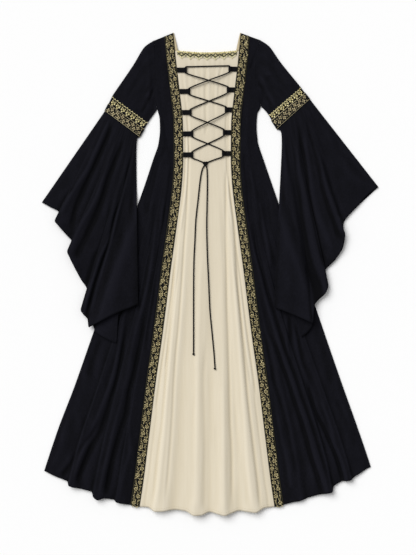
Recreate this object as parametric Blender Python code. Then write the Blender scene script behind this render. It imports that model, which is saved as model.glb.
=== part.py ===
"""Long medieval style gown, laid flat on its back, front up, sleeves spread.

Metres, +Z up, +Y towards the shoulders, X = 0 on the gown's centre line, Z = 0 under the back.
Tables are in millimetres. Every cloth piece is a wall built on rows of points of its middle layer.
"""
import math

import bmesh
import bpy
from mathutils import Vector
from mathutils.bvhtree import BVHTree

for old in list(bpy.data.objects):
    bpy.data.objects.remove(old, do_unlink=True)

MM = 0.001

# Cloth walls and the gap that pieces keep from each other
BLACK_WALL = 1.2
CREAM_WALL = 1.0
TRIM_WALL = 0.9
GAP = 0.3
HALF_GAP = GAP / 2

# Heights of the middle layers above the surface
BACK_Z = BLACK_WALL / 2
SEAM_Z = BLACK_WALL + GAP + BLACK_WALL / 2
FOLD_INSET = 2.2
TUBE_GAP = 3.0
TRIM_LIFT = BLACK_WALL / 2 + GAP + TRIM_WALL / 2
BELL_OVER_SKIRT = 13.5

TRIM_HALF = 14.5
WAIST_Y = 300.0
HEM_Y = -709.0
FOLD_GROWTH = 1.15
SEAM_RISE = 2.0
TRIM_LEDGE = 1.0


class Steps:
    """A smooth line through a few values that never swings past them."""

    def __init__(self, keys, values):
        self.keys = list(keys)
        self.values = list(values)
        count = len(self.keys)
        slopes = [(self.values[i + 1] - self.values[i]) / (self.keys[i + 1] - self.keys[i])
                  for i in range(count - 1)]
        self.tangents = [slopes[0]]
        for before, after in zip(slopes, slopes[1:]):
            level = before * after <= 0
            self.tangents.append(0.0 if level else 2 * before * after / (before + after))
        self.tangents.append(slopes[-1])

    def __call__(self, key):
        keys = self.keys
        key = min(max(key, keys[0]), keys[-1])
        i = 0
        while i < len(keys) - 2 and key > keys[i + 1]:
            i += 1
        span = keys[i + 1] - keys[i]
        t = (key - keys[i]) / span
        start = self.values[i] * (1 + 2 * t) * (1 - t) ** 2
        end = self.values[i + 1] * t * t * (3 - 2 * t)
        leave = self.tangents[i] * span * t * (1 - t) ** 2
        arrive = self.tangents[i + 1] * span * t * t * (t - 1)
        return start + end + leave + arrive


def columns(table):
    """One smooth line for each column of a table, over the row number."""
    keys = list(range(len(table)))
    return [Steps(keys, [row[c] for row in table]) for c in range(len(table[0]))]


def smooth(value):
    value = min(max(value, 0.0), 1.0)
    return value * value * (3 - 2 * value)


def mix(a, b, t):
    return a + (b - a) * t


def material(name, colour, roughness, metallic=0.0):
    finish = bpy.data.materials.new(name)
    finish.use_nodes = True
    shader = finish.node_tree.nodes["Principled BSDF"]
    shader.inputs["Base Color"].default_value = (*colour, 1.0)
    shader.inputs["Roughness"].default_value = roughness
    shader.inputs["Metallic"].default_value = metallic
    return finish


BLACK = material("black_cloth", (0.009, 0.010, 0.014), 0.9)
CREAM = material("cream_cloth", (0.73, 0.66, 0.54), 0.85)
TRIM = material("gold_flower_trim", (0.24, 0.20, 0.11), 0.6)
LACE = material("gold_lace", (0.55, 0.45, 0.18), 0.45)
CORD = material("black_cord", (0.008, 0.008, 0.010), 0.7)


def add_mesh(name, points, faces, finish, wall=None):
    """An object from points in millimetres; with a wall, the faces are the middle of that wall."""
    mesh = bpy.data.meshes.new(name)
    mesh.from_pydata([tuple(c * MM for c in p) for p in points], [], faces)
    mesh.materials.append(finish)
    mesh.shade_smooth()
    mesh.set_sharp_from_angle(angle=math.radians(40))
    item = bpy.data.objects.new(name, mesh)
    bpy.context.scene.collection.objects.link(item)
    if wall:
        solid = item.modifiers.new("wall", "SOLIDIFY")
        solid.thickness = wall * MM
        solid.offset = 0.0
    return item


def add_sheet(name, rows, finish, wall, flip=False):
    """An open cloth piece from rows of points, each row running across the piece."""
    width = len(rows[0])
    points = [p for row in rows for p in row]
    faces = []
    for r in range(len(rows) - 1):
        for c in range(width - 1):
            a = r * width + c
            quad = (a, a + width, a + width + 1, a + 1)
            faces.append(quad[::-1] if flip else quad)
    return add_mesh(name, points, faces, finish, wall)


def add_tube(name, rings, finish, wall, flip=False):
    """A cloth tube from closed rings of points."""
    width = len(rings[0])
    points = [p for ring in rings for p in ring]
    faces = []
    for r in range(len(rings) - 1):
        for c in range(width):
            a = r * width + c
            b = r * width + (c + 1) % width
            quad = (a, b, b + width, a + width)
            faces.append(quad[::-1] if flip else quad)
    return add_mesh(name, points, faces, finish, wall)


# Line of the seams under the long trims, the same on both sides
SEAM_LINE = (
    # y, distance from the centre line
    (-709, 220), (-628, 208), (-476, 189), (-323, 170), (-198, 152), (-113, 141), (15, 125),
    (146, 107), (287, 90), (354, 87), (454, 88), (555, 98), (659, 110), (730, 116.5),
)
seam_x = Steps([row[0] for row in SEAM_LINE], [row[1] for row in SEAM_LINE])

# Rows of the front panels, from the shoulder to the hem: the seam's height on the body, the outer
# edge (armhole, then side seam), how far the panel's middle lies above its side seam, and how far
# its outer edge does
FRONT_ROWS = {
    "left": (
        # seam_y, edge_x, edge_y, crown, edge_lift
        (729.5, -161, 711.5, 0.0, 0.0),
        (680, -159, 659, 1.7, 1.5),
        (622, -157, 598, 2.0, 1.5),
        (572, -158, 549, 2.2, 1.5),
        (528, -151, 503, 2.2, 0.0),
        (491, -144, 472, 2.0, 0.0),
        (448, -143, 439, 2.0, 0.0),
        (403, -147.5, 398, 2.0, 0.0),
        (348, -164, 348, 1.8, 0.0),
        (281, -186, 281, 1.6, 0.0),
        (180, -218.5, 189, 1.6, 0.0),
        (43, -266, 55, 1.6, 0.0),
        (-110, -314.5, -88, 1.6, 0.0),
        (-247, -359.5, -217, 1.6, 0.0),
        (-384, -404.5, -345, 1.8, 0.0),
        (-522, -451.5, -467, 2.0, 0.0),
        (-628, -481, -554, 2.0, 0.0),
        (-709, -496, -600, 2.0, 0.0),
    ),
    "right": (
        (729.5, 159, 714, 0.0, 0.0),
        (680, 154, 668, 1.7, 1.5),
        (622, 152, 618, 2.0, 1.5),
        (572, 157, 563, 2.2, 1.5),
        (528, 163, 512, 2.2, 0.0),
        (491, 153, 488, 2.0, 0.0),
        (448, 150.5, 452, 2.0, 0.0),
        (403, 154, 406, 2.0, 0.0),
        (348, 172, 348, 1.8, 0.0),
        (281, 195, 281, 1.6, 0.0),
        (180, 227, 189, 1.6, 0.0),
        (43, 275, 55, 1.6, 0.0),
        (-110, 326, -88, 1.6, 0.0),
        (-247, 370, -217, 1.6, 0.0),
        (-384, 414.5, -345, 1.8, 0.0),
        (-522, 458, -467, 2.0, 0.0),
        (-628, 487.5, -553, 2.0, 0.0),
        (-709, 499, -588, 2.0, 0.0),
    ),
}
ARMPIT_ROW = 4
LAST_ROW = len(FRONT_ROWS["left"]) - 1
ROW_STEPS = [i / 2 for i in range(2 * ARMPIT_ROW)] + list(range(ARMPIT_ROW, LAST_ROW + 1))
NECK_ROW = 1
SIGN = {"left": -1, "right": 1}

# Folds of the side panels, from the trim to the side seam: place across at the waist and at the
# hem, height at the hem, and how far the hem hangs lower there
SIDE_FOLDS = {
    "left": (
        # waist, hem, rise, drop
        (0.00, 0.00, 2, 0),
        (0.05, 0.10, 8, 6),
        (0.09, 0.16, 10, 8),
        (0.12, 0.185, 3, 4),
        (0.22, 0.30, 7, 11),
        (0.29, 0.38, 14, 24),
        (0.33, 0.425, 12, 20),
        (0.36, 0.45, 3, 6),
        (0.44, 0.58, 6, 10),
        (0.50, 0.67, 13, 15),
        (0.54, 0.71, 12, 15),
        (0.58, 0.735, 2, 3),
        (0.78, 0.86, 3, 3),
        (0.95, 0.965, 1, 1),
        (1.00, 1.00, 0, 0),
    ),
    "right": (
        (0.00, 0.00, 2, 0),
        (0.02, 0.10, 4, 4),
        (0.06, 0.20, 8, 10),
        (0.12, 0.27, 3, 10),
        (0.17, 0.40, 6, 15),
        (0.22, 0.51, 13, 23),
        (0.27, 0.55, 14, 25),
        (0.31, 0.575, 4, 9),
        (0.46, 0.66, 3, 5),
        (0.52, 0.73, 10, 11),
        (0.57, 0.77, 12, 13),
        (0.61, 0.80, 4, 9),
        (0.80, 0.89, 3, 4),
        (0.95, 0.965, 1, 0),
        (1.00, 1.00, 0, 0),
    ),
}

# Folds of the centre front between the trims, from left to right, in the same columns
CENTRE_FOLDS = (
    # waist, hem, rise, drop
    (0.00, 0.00, 2, 0),
    (0.07, 0.06, 4, 1),
    (0.13, 0.115, 11, 14),
    (0.18, 0.17, 12, 13),
    (0.26, 0.26, 5, 8),
    (0.36, 0.34, 9, 12),
    (0.43, 0.405, 14, 26),
    (0.47, 0.455, 12, 25),
    (0.55, 0.52, 6, 15),
    (0.66, 0.58, 12, 21),
    (0.71, 0.63, 15, 26),
    (0.75, 0.68, 9, 19),
    (0.78, 0.74, 5, 11),
    (0.81, 0.80, 10, 14),
    (0.86, 0.86, 12, 17),
    (0.93, 0.93, 5, 3),
    (1.00, 1.00, 2, 0),
)
NECK_SAG = 6.0
GATHERS = 11
GATHER_RISE = 0.6
GATHER_END_Y = 300.0
GATHER_RUN = 300.0
CENTRE_CROWN = 1.2
SPREAD = 1.1
EDGE_START = 0.9
EDGE_SHARE = 0.4


def growth(y):
    """How far the folds have opened, from 0 at the waist to 1 at the hem."""
    return min(max((WAIST_Y - y) / (WAIST_Y - HEM_Y), 0.0), 1.2) ** FOLD_GROWTH


def seam_row(side, step, inset=0.0):
    """The seam's point, the panel's outer edge and the direction between them for a front row."""
    seam_y, edge_x, edge_y, crown, edge_lift = (line(step) for line in FRONT_LINES[side])
    seam = Vector((SIGN[side] * seam_x(seam_y), seam_y, SEAM_Z + crown + SEAM_RISE * growth(seam_y)))
    edge = Vector((edge_x, edge_y, SEAM_Z + edge_lift))
    across = Vector((edge.x - seam.x, edge.y - seam.y, 0)).normalized()
    return seam + across * inset, edge - across * inset, across


def armhole_line(side, step):
    """Armhole points lie on straight runs between the front's rows, so that the sleeve meets them."""
    low = min(int(math.floor(step * 2)), 2 * ARMPIT_ROW - 1) / 2
    a = seam_row(side, low)[1]
    b = seam_row(side, low + 0.5)[1]
    return a.lerp(b, (step - low) * 2)


FRONT_LINES = {side: columns(rows) for side, rows in FRONT_ROWS.items()}


def side_panel_rows(side):
    rows = []
    folds = SIDE_FOLDS[side]
    for step in ROW_STEPS:
        seam, edge, across = seam_row(side, step, HALF_GAP)
        trim_edge = seam + across * (TRIM_HALF + TRIM_LEDGE)
        open_now = growth(seam.y)
        row = [seam]
        for waist, hem, rise, drop in folds:
            s = mix(waist, hem, smooth(open_now * SPREAD))
            point = trim_edge.lerp(edge, s)
            last = (waist, hem, rise, drop) == folds[-1]
            fall = EDGE_SHARE * smooth((s - EDGE_START) / (1 - EDGE_START))
            base = edge.z if last else mix(seam.z - SEAM_RISE * open_now, edge.z, fall)
            point.z = base + rise * open_now
            point.y -= drop * open_now ** 3
            row.append(point)
        rows.append(row)
    return rows


def centre_panel_row(step, fold_count):
    left = seam_row("left", step)[0]
    right = seam_row("right", step)[0]
    y = left.y
    open_now = growth(y)
    inner_left = left.x + TRIM_HALF + TRIM_LEDGE
    inner_right = right.x - TRIM_HALF - TRIM_LEDGE
    row = [Vector((left.x + HALF_GAP, y, left.z))]
    lines = columns(CENTRE_FOLDS)
    for k in range(fold_count + 1):
        waist, hem, rise, drop = (line(k * (len(CENTRE_FOLDS) - 1) / fold_count) for line in lines)
        s = mix(waist, hem, smooth(open_now))
        crown = CENTRE_CROWN * math.sin(math.pi * s)
        ease = smooth((y - GATHER_END_Y) / GATHER_RUN) * GATHER_RISE
        ease *= math.sin(math.pi * s) ** 0.5 if 0 < s < 1 else 0
        gather = ease * (1 - math.cos(2 * math.pi * GATHERS * s))
        z = left.z + (rise - SEAM_RISE) * open_now + crown + gather
        sag = NECK_SAG * math.sin(math.pi * s) if step == NECK_ROW else 0
        row.append(Vector((mix(inner_left, inner_right, s), y - drop * open_now ** 3 - sag, z)))
    row.append(Vector((right.x - HALF_GAP, y, right.z)))
    return row


def trim_row(side, step):
    """Inner edge, middle and outer edge of a long trim, just above the panels."""
    seam, edge, across = seam_row(side, step)
    level = Vector((-SIGN[side], 0, 0))
    inward = level.lerp(-across, max(0.0, 1 - step / NECK_ROW)).normalized()
    lift = Vector((0, 0, TRIM_LIFT))
    return [seam + inward * TRIM_HALF + lift, seam + lift, seam + across * TRIM_HALF + lift]


# Facings show inside the trims between the shoulder and the neck lace
FACING_SHOW = Steps([0, 1], [2.0, 9.0])


def facing_rows(side):
    rows = []
    for step in (0, 0.5, NECK_ROW):
        inner, middle, outer = trim_row(side, step)
        seam = middle - Vector((0, 0, TRIM_LIFT))
        inward = (inner - middle).normalized()
        low = Vector((0, HALF_GAP * 2 if step == NECK_ROW else 0, 0))
        rows.append([seam + inward * HALF_GAP + low,
                     seam + inward * (TRIM_HALF + FACING_SHOW(step)) + low])
    return rows


# Sleeves: the fold along the top of the arm and the fold under it, from the armhole to the line
# where the arm lace starts
SLEEVE_EDGES = {
    "left": (
        # top_x, top_y, under_x, under_y
        (-161, 711.5, -151, 503),
        (-188, 693, -159, 491),
        (-224, 636, -168, 479),
        (-286, 545, -178, 465),
    ),
    "right": (
        (159, 714, 163, 512),
        (186, 696, 171, 504),
        (223, 645, 179, 496),
        (283, 571, 186, 487),
    ),
}
# Lines across the arm: outer point and inner point
ARM_LINES = {
    "left": {
        "lace_top": ((-288, 541), (-180, 461)),
        "ribbon_top": ((-299, 519), (-192, 443)),
        "cuff": ((-305, 507.5), (-199, 430.5)),
        "ribbon_end": ((-311, 496), (-206, 418)),
    },
    "right": {
        "lace_top": ((285, 568), (188, 484)),
        "ribbon_top": ((297, 552), (196.5, 470)),
        "cuff": ((305, 542), (205.5, 456)),
        "ribbon_end": ((313, 532), (214, 442)),
    },
}
ARM_DIVISIONS = 8
ARM_UNDER_Z = TRIM_WALL + GAP + BLACK_WALL / 2
ARM_TOP_Z = ARM_UNDER_Z + TUBE_GAP
ARM_BULGE = 5.0
ARMPIT_CLEAR = 0.9
SLEEVE_STEPS = 6


def arm_top(u):
    """Height of the arm's upper layer near the cuff, on straight runs between the divisions."""
    scaled = min(max(u, 0.0), 1.0) * ARM_DIVISIONS
    low = min(int(scaled), ARM_DIVISIONS - 1)
    a = math.sin(math.pi * low / ARM_DIVISIONS)
    b = math.sin(math.pi * (low + 1) / ARM_DIVISIONS)
    return ARM_TOP_Z + ARM_BULGE * mix(a, b, scaled - low)


def flat_ring(line, heights_top, heights_under, us, grow=0.0, inset=FOLD_INSET):
    """A closed ring of a flattened tube. line(u) gives the plan point from one fold to the other."""
    ring = []
    first = line(0.0)
    last = line(1.0)
    along = (last - first).normalized()
    span = (last - first).length
    eps = (inset + grow) / (span + 2 * grow)

    def plan(u):
        base = line(u)
        shift = along * ((2 * u - 1) * grow)
        return base + shift

    def point(u, z):
        place = plan(u)
        return Vector((place.x, place.y, z))

    inner = [u for u in us if eps < u < 1 - eps]
    ring.append(point(0.0, (heights_top(eps) + heights_under(eps)) / 2))
    ring.append(point(eps, heights_top(eps)))
    ring.extend(point(u, heights_top(u)) for u in inner)
    ring.append(point(1 - eps, heights_top(1 - eps)))
    ring.append(point(1.0, (heights_top(1 - eps) + heights_under(1 - eps)) / 2))
    ring.append(point(1 - eps, heights_under(1 - eps)))
    ring.extend(point(u, heights_under(u)) for u in reversed(inner))
    ring.append(point(eps, heights_under(eps)))
    return ring


def arm_line(side, name, shift=0.0):
    """A straight line across the arm, moved along the arm by shift, towards the hand."""
    outer, inner = (Vector((*p, 0)) for p in ARM_LINES[side][name])
    across = (inner - outer).normalized()
    down = Vector((across.y, -across.x, 0)) * -SIGN[side]
    if down.y > 0:
        down = -down
    outer = outer + down * shift
    inner = inner + down * shift
    return lambda u: outer.lerp(inner, u)


ARM_US = [i / ARM_DIVISIONS for i in range(1, ARM_DIVISIONS)]


def sleeve_rings(side):
    lines = columns(SLEEVE_EDGES[side])
    count = len(SLEEVE_EDGES[side]) - 1
    chord_a = armhole_line(side, 0)
    chord_b = armhole_line(side, ARMPIT_ROW)
    rings = []
    for i in range(SLEEVE_STEPS + 1):
        w = i / SLEEVE_STEPS
        top_x, top_y, under_x, under_y = (line(w * count) for line in lines)
        top = Vector((top_x, top_y, 0))
        under = Vector((under_x, under_y, 0))

        def line(u, top=top, under=under, w=w):
            seam = armhole_line(side, u * ARMPIT_ROW)
            bow = seam - chord_a.lerp(chord_b, u)
            place = top.lerp(under, u) + bow * (1 - w)
            clear = HALF_GAP + ARMPIT_CLEAR * (smooth(5 * u - 4) + 0.5 * smooth(1 - 5 * u))
            return Vector((place.x + SIGN[side] * clear, place.y, 0))

        lift = smooth((w - 0.4) / 0.6)
        under_z = mix(BACK_Z, ARM_UNDER_Z, lift)

        def height(u, w=w):
            return mix(BACK_Z + TUBE_GAP, arm_top(u), smooth(w))

        rings.append(flat_ring(line, height, lambda u, z=under_z: z, ARM_US))
    rings.append(flat_ring(arm_line(side, "cuff", -HALF_GAP), arm_top, lambda u: ARM_UNDER_Z, ARM_US))
    return rings


# Bells: place across the cuff (0 at the arm's outer fold), hem point, height at the hem, and how
# far the fold line sways sideways on its way. A hem point that lies further down the same fold
# line than the one before is a fold standing on the cloth beside it.
BELL_TOP = {
    "left": (
        # cuff, hem_x, hem_y, rise, sway
        (0.00, -503, 218, 0, 0),
        (0.02, -478, 204, 1.5, 0),
        (0.05, -452, 188, 2, 0),
        (0.08, -463, 162, 9, 0),
        (0.14, -453, 148, 11, 0),
        (0.30, -431, 122, 5, 3),
        (0.44, -412, 97, 2, 6),
        (0.50, -425, 69, 9, 8),
        (0.54, -416, 46, 12, 8),
        (0.66, -386, -13, 5, 8),
        (0.76, -366, -50, 2, 8),
        (0.80, -384, -108, 9, 7),
        (0.83, -377, -122, 11, 7),
        (0.88, -364, -137, 5, 7),
        (0.91, -359, -162, 11, 7),
        (0.93, -341, -152, 14, 5),
        (0.97, -280, -121, 8, -1),
        (1.00, -210, -92, 0, -8.5),
    ),
    "right": (
        (0.00, 522, 265, 0, 0),
        (0.04, 490, 242, 1.5, 0),
        (0.08, 457, 206, 2, 0),
        (0.12, 431, 178, 2, 0),
        (0.15, 416, 157, 2, 0),
        (0.19, 414, 137, 8, 0),
        (0.23, 420, 119, 12, 0),
        (0.27, 415, 85, 9, -3),
        (0.32, 393, 46, 4, -8),
        (0.37, 357, 3, 2, -14),
        (0.42, 369, -34, 10, -17),
        (0.46, 363, -55, 13, -17),
        (0.62, 326, -98, 3, -6),
        (0.84, 321, -148, 9, 8),
        (0.88, 305, -142, 13, 9),
        (0.94, 257, -121, 7, 13),
        (1.00, 204, -101, 0, 14),
    ),
}
BELL_UNDER = {
    "left": (
        # cuff, hem_x, hem_y, sway
        (1.00, -210, -92, -8.5),
        (0.90, -262, -110, -2),
        (0.85, -271, -140, 0),
        (0.80, -277, -210, 4),
        (0.68, -342, -171, 6),
        (0.60, -351, -132, 6),
        (0.48, -352, -49, 6),
        (0.28, -398, 92, 4),
        (0.12, -441, 181, 0),
        (0.00, -503, 218, 0),
    ),
    "right": (
        (1.00, 204, -101, 14),
        (0.93, 250, -119, 11),
        (0.86, 274, -132, 8),
        (0.80, 287, -191, 6),
        (0.70, 321, -151, 2),
        (0.60, 318, -98, -4),
        (0.45, 335, -30, -8),
        (0.32, 352, 15, -8),
        (0.18, 402, 128, 0),
        (0.12, 422, 166, 0),
        (0.07, 455, 202, 0),
        (0.00, 522, 265, 0),
    ),
}
RIBBON_CLEAR = 2.0
FOLD_SHARE = 0.018
BELL_ROWS = (0.0, 0.05, 0.13, 0.25, 0.40, 0.55, 0.70, 0.85, 1.0)
SIDE_EDGE = {
    side: Steps([-row[2] for row in rows[ARMPIT_ROW:]], [row[1] for row in rows[ARMPIT_ROW:]])
    for side, rows in FRONT_ROWS.items()
}


def skirt_lift(side, x, y):
    """How far a bell is raised where it lies over the skirt's side."""
    inside = (SIDE_EDGE[side](-y) - x) * SIGN[side]
    return BELL_OVER_SKIRT * smooth((inside * 0.94 + 25) / 40)


def bell_rings(side, top_steps=2):
    top_lines = columns(BELL_TOP[side])
    under_lines = columns(BELL_UNDER[side])
    top_keys = [i / top_steps for i in range(top_steps * (len(BELL_TOP[side]) - 1) + 1)]
    under_keys = list(range(len(BELL_UNDER[side])))
    cuff = arm_line(side, "cuff", HALF_GAP)
    ribbon_end = arm_line(side, "ribbon_end", RIBBON_CLEAR)
    rings = []
    for line, v in [(cuff, 0.0)] + [(ribbon_end, v) for v in BELL_ROWS]:
        sway_now = math.sin(math.pi * v ** 0.3)
        leave = smooth(v * 4)

        def place(u, hem_x, hem_y, sway):
            start = line(mix(FOLD_SHARE, 1 - FOLD_SHARE, u) if 0 < u < 1 else u)
            x = mix(start.x, hem_x, v) + sway * sway_now
            return x, mix(start.y, hem_y, v)

        top = []
        for key in top_keys:
            u, hem_x, hem_y, rise, sway = (column(key) for column in top_lines)
            x, y = place(u, hem_x, hem_y, sway)
            z = mix(arm_top(u), BACK_Z + TUBE_GAP + rise * v, leave)
            top.append(Vector((x, y, z + skirt_lift(side, x, y))))
        under = []
        for key in under_keys:
            u, hem_x, hem_y, sway = (column(key) for column in under_lines)
            x, y = place(u, hem_x, hem_y, sway)
            under.append(Vector((x, y, mix(ARM_UNDER_Z, BACK_Z, leave) + skirt_lift(side, x, y))))
        rings.append(fold_edges(top, under))
    return rings


def fold_edges(top, under):
    """Join an upper and an under layer in two round folds: both start and end at the same plan points."""
    def inset(edge, neighbour):
        flat = Vector((neighbour.x - edge.x, neighbour.y - edge.y, 0))
        step = min(FOLD_INSET, flat.length * 0.6)
        shift = flat.normalized() * step
        return Vector((edge.x + shift.x, edge.y + shift.y, edge.z))

    outer = (top[0] + under[-1]) / 2
    inner = (top[-1] + under[0]) / 2
    upper = [inset(top[0], top[1])] + top[1:-1] + [inset(top[-1], top[-2])]
    lower = [inset(under[0], under[1])] + under[1:-1] + [inset(under[-1], under[-2])]
    return [outer] + upper + [inner] + lower


RIBBON_EASE = 0.25
RIBBON_INSET = 0.8


def ribbon_rings(side):
    rings = []
    for name, shift in (("ribbon_top", GAP), ("cuff", 0.0), ("ribbon_end", 0.0)):
        rings.append(flat_ring(arm_line(side, name, shift), lambda u: arm_top(u) + TRIM_LIFT + RIBBON_EASE,
                               lambda u: ARM_UNDER_Z - TRIM_LIFT, ARM_US,
                               grow=TRIM_LIFT + 2 * RIBBON_EASE, inset=RIBBON_INSET))
    return rings


# Laces: a rail along the upper edge, with arms that zigzag down to points
def lace_faces(repeats, rail, arm, tip, height, place):
    """Points and faces of one lace strip. place(a, b): a along it in repeats, b down it in millimetres."""
    points = []
    faces = []

    def add(a, b):
        points.append(place(a, b))
        return len(points) - 1

    roots = []
    for k in range(repeats + 1):
        middle = k
        left = max(0.0, middle - arm)
        right = min(repeats, middle + arm)
        peak = rail * 0.45 if 0 < k < repeats else 0.0
        low = rail
        roots.append([(add(a, top), add(a, low)) for a, top in
                      ((left, rail * 0.2), (middle, -peak), (right, rail * 0.2))
                      if 0 < a < repeats or a == middle])
    tips = []
    for k in range(repeats):
        middle = k + 0.5
        crotch = add(middle, height - tip - rail * 0.6)
        left = add(middle - arm, height - tip)
        right = add(middle + arm, height - tip)
        point = add(middle, height)
        tips.append((left, crotch, right))
        faces.append((left, point, right, crotch))
    chain = [pair for root in roots for pair in root]
    for a, b in zip(chain, chain[1:]):
        faces.append((a[0], a[1], b[1], b[0]))
    for k in range(repeats):
        start = roots[k]
        end = roots[k + 1]
        left, crotch, right = tips[k]
        faces.append((start[-2][1], left, crotch, start[-1][1]))
        faces.append((end[0][1], crotch, right, end[1][1]))
    return points, faces


NECK_LACE = {"repeats": 7, "rail": 6.0, "arm": 0.24, "tip": 6.0, "height": 23.5}
NECK_LACE_Y = 681.0
NECK_LACE_SHORT = 6.0
ARM_LACE = {"repeats": 7, "rail": 5.0, "arm": 0.26, "tip": 4.5, "height": 18.5}


def add_lace(name, sizes, place, flip):
    points, faces = lace_faces(place=place, **sizes)
    if flip:
        faces = [face[::-1] for face in faces]
    return add_mesh(name, points, faces, LACE, TRIM_WALL)


def surface_top(tree, x, y, reach):
    """The highest point of a finished surface within reach of a plan point."""
    best = 0.0
    for i in range(9):
        r = reach if i else 0.0
        angle = i * math.pi / 4
        start = Vector((x + r * math.cos(angle), y + r * math.sin(angle), 200)) * MM
        hit = tree.ray_cast(start, Vector((0, 0, -1)))[0]
        if hit:
            best = max(best, hit.z / MM)
    return best


def tree_of(item):
    graph = bpy.context.evaluated_depsgraph_get()
    graph.update()
    return BVHTree.FromObject(item, graph)


def smooth_route(points, steps):
    """A smooth curve through a cord's points, which turns within the shorter run beside each point."""
    spans = [(b - a).length for a, b in zip(points, points[1:])]
    slopes = [(points[1] - points[0]) / spans[0]]
    for i in range(1, len(points) - 1):
        slopes.append((points[i + 1] - points[i - 1]) / (spans[i - 1] + spans[i]))
    slopes.append((points[-1] - points[-2]) / spans[-1])
    result = []
    for i, span in enumerate(spans):
        for k in range(steps):
            t = k / steps
            start = points[i] * (1 + 2 * t) * (1 - t) ** 2
            end = points[i + 1] * t * t * (3 - 2 * t)
            leave = slopes[i] * span * t * (1 - t) ** 2
            arrive = slopes[i + 1] * span * t * t * (t - 1)
            result.append(start + end + leave + arrive)
    result.append(points[-1])
    return result


def add_cord(name, points, diameter):
    curve = bpy.data.curves.new(name, "CURVE")
    curve.dimensions = "3D"
    curve.bevel_depth = diameter / 2 * MM
    curve.bevel_resolution = 2
    curve.use_fill_caps = True
    spline = curve.splines.new("POLY")
    spline.points.add(len(points) - 1)
    for spot, p in zip(spline.points, points):
        spot.co = (p.x * MM, p.y * MM, p.z * MM, 1)
    curve.materials.append(CORD)
    item = bpy.data.objects.new(name, curve)
    bpy.context.scene.collection.objects.link(item)
    return item


def add_knot(name, centre, size):
    bpy.ops.mesh.primitive_uv_sphere_add(segments=10, ring_count=6, radius=MM)
    item = bpy.context.object
    item.name = name
    item.data.name = name
    item.scale = size
    item.location = centre * MM
    item.data.materials.append(CORD)
    item.data.shade_smooth()
    return item


# Back, cut a little smaller than the front so that the front's edges hide it
BACK_HEM = (
    # x, y
    (-492, -596), (-440, -617), (-380, -639), (-310, -665), (-225, -701), (-120, -706), (0, -708),
    (120, -706), (225, -702), (310, -664), (380, -634), (440, -608), (495, -584),
)
BACK_NECK_Y = 666.0


def back_outline():
    outline = []
    for side, order in (("left", 1), ("right", -1)):
        neck = facing_rows(side)
        inner_top = neck[0][1]
        inner_low = neck[-1][1]
        shoulder = seam_row(side, 0, 1.0)
        run = [(inner_low.x - SIGN[side] * 1.0, BACK_NECK_Y), (inner_top.x, inner_top.y - 2.0)]
        run.append((shoulder[0].x, shoulder[0].y - 1.5))
        for step in ROW_STEPS[:2 * ARMPIT_ROW + 1]:
            edge = seam_row(side, step, HALF_GAP)[1]
            low = 1.0 if step == 0 else 0.0
            run.append((edge.x, edge.y - low))
        for step in range(ARMPIT_ROW + 1, LAST_ROW):
            edge = seam_row(side, step, 1.0)[1]
            run.append((edge.x, edge.y))
        outline.append(run[::order])
    left, right = outline
    return left + list(BACK_HEM) + right


def build_back():
    points = [Vector((x, y, BACK_Z)) for x, y in back_outline()]
    item = add_mesh("back_panel", points, [tuple(range(len(points)))], BLACK)
    plate = bmesh.new()
    plate.from_mesh(item.data)
    bmesh.ops.triangulate(plate, faces=plate.faces[:])
    for face in plate.faces:
        if face.normal.z < 0:
            face.normal_flip()
    plate.to_mesh(item.data)
    plate.free()
    solid = item.modifiers.new("wall", "SOLIDIFY")
    solid.thickness = BLACK_WALL * MM
    solid.offset = 0.0


def build_fronts():
    for side in SIGN:
        left = side == "left"
        add_sheet(f"side_panel_{side}", side_panel_rows(side), BLACK, BLACK_WALL, flip=left)
        add_sheet(f"trim_{side}", [trim_row(side, step) for step in ROW_STEPS], TRIM, TRIM_WALL, flip=left)
        add_sheet(f"neck_facing_{side}", facing_rows(side), CREAM, CREAM_WALL, flip=not left)
    steps = [step for step in ROW_STEPS if step >= NECK_ROW]
    rows = [centre_panel_row(step, 2 * (len(CENTRE_FOLDS) - 1)) for step in steps]
    return add_sheet("centre_panel", rows, CREAM, CREAM_WALL)


def build_neck_lace(centre_tree):
    repeats = NECK_LACE["repeats"]

    def place(a, b):
        s = a / repeats
        y = NECK_LACE_Y - NECK_SAG * math.sin(math.pi * s) - b
        half = seam_x(y) - TRIM_HALF - NECK_LACE_SHORT
        x = mix(-half, half, s)
        level = surface_top(centre_tree, x, min(y, 672 - NECK_SAG * math.sin(math.pi * s)), 6)
        return Vector((x, y, level + GAP + TRIM_WALL / 2))

    add_lace("neck_lace", NECK_LACE, place, flip=False)


def build_sleeves():
    for side in SIGN:
        left = side == "left"
        add_tube(f"sleeve_{side}", sleeve_rings(side), BLACK, BLACK_WALL, flip=left)
        add_tube(f"bell_{side}", bell_rings(side), BLACK, BLACK_WALL, flip=left)
        add_tube(f"arm_ribbon_{side}", ribbon_rings(side), TRIM, TRIM_WALL, flip=left)
        upper = arm_line(side, "lace_top")
        lower = arm_line(side, "ribbon_top", -GAP)
        depth = ARM_LACE["height"]

        def front(a, b, upper=upper, lower=lower):
            u = mix(0.02, 0.98, a / ARM_LACE["repeats"])
            spot = upper(u).lerp(lower(u), b / depth)
            return Vector((spot.x, spot.y, arm_top(u) + TRIM_LIFT + RIBBON_EASE))

        add_lace(f"arm_lace_front_{side}", ARM_LACE, front, flip=not left)
        rows = []
        for line in (upper, lower):
            row = [line(u) for u in (0.025, 0.35, 0.65, 0.975)]
            for spot in row:
                spot.z = ARM_UNDER_Z - TRIM_LIFT
            rows.append(row)
        add_sheet(f"arm_lace_back_{side}", rows, LACE, TRIM_WALL, flip=left)


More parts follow.
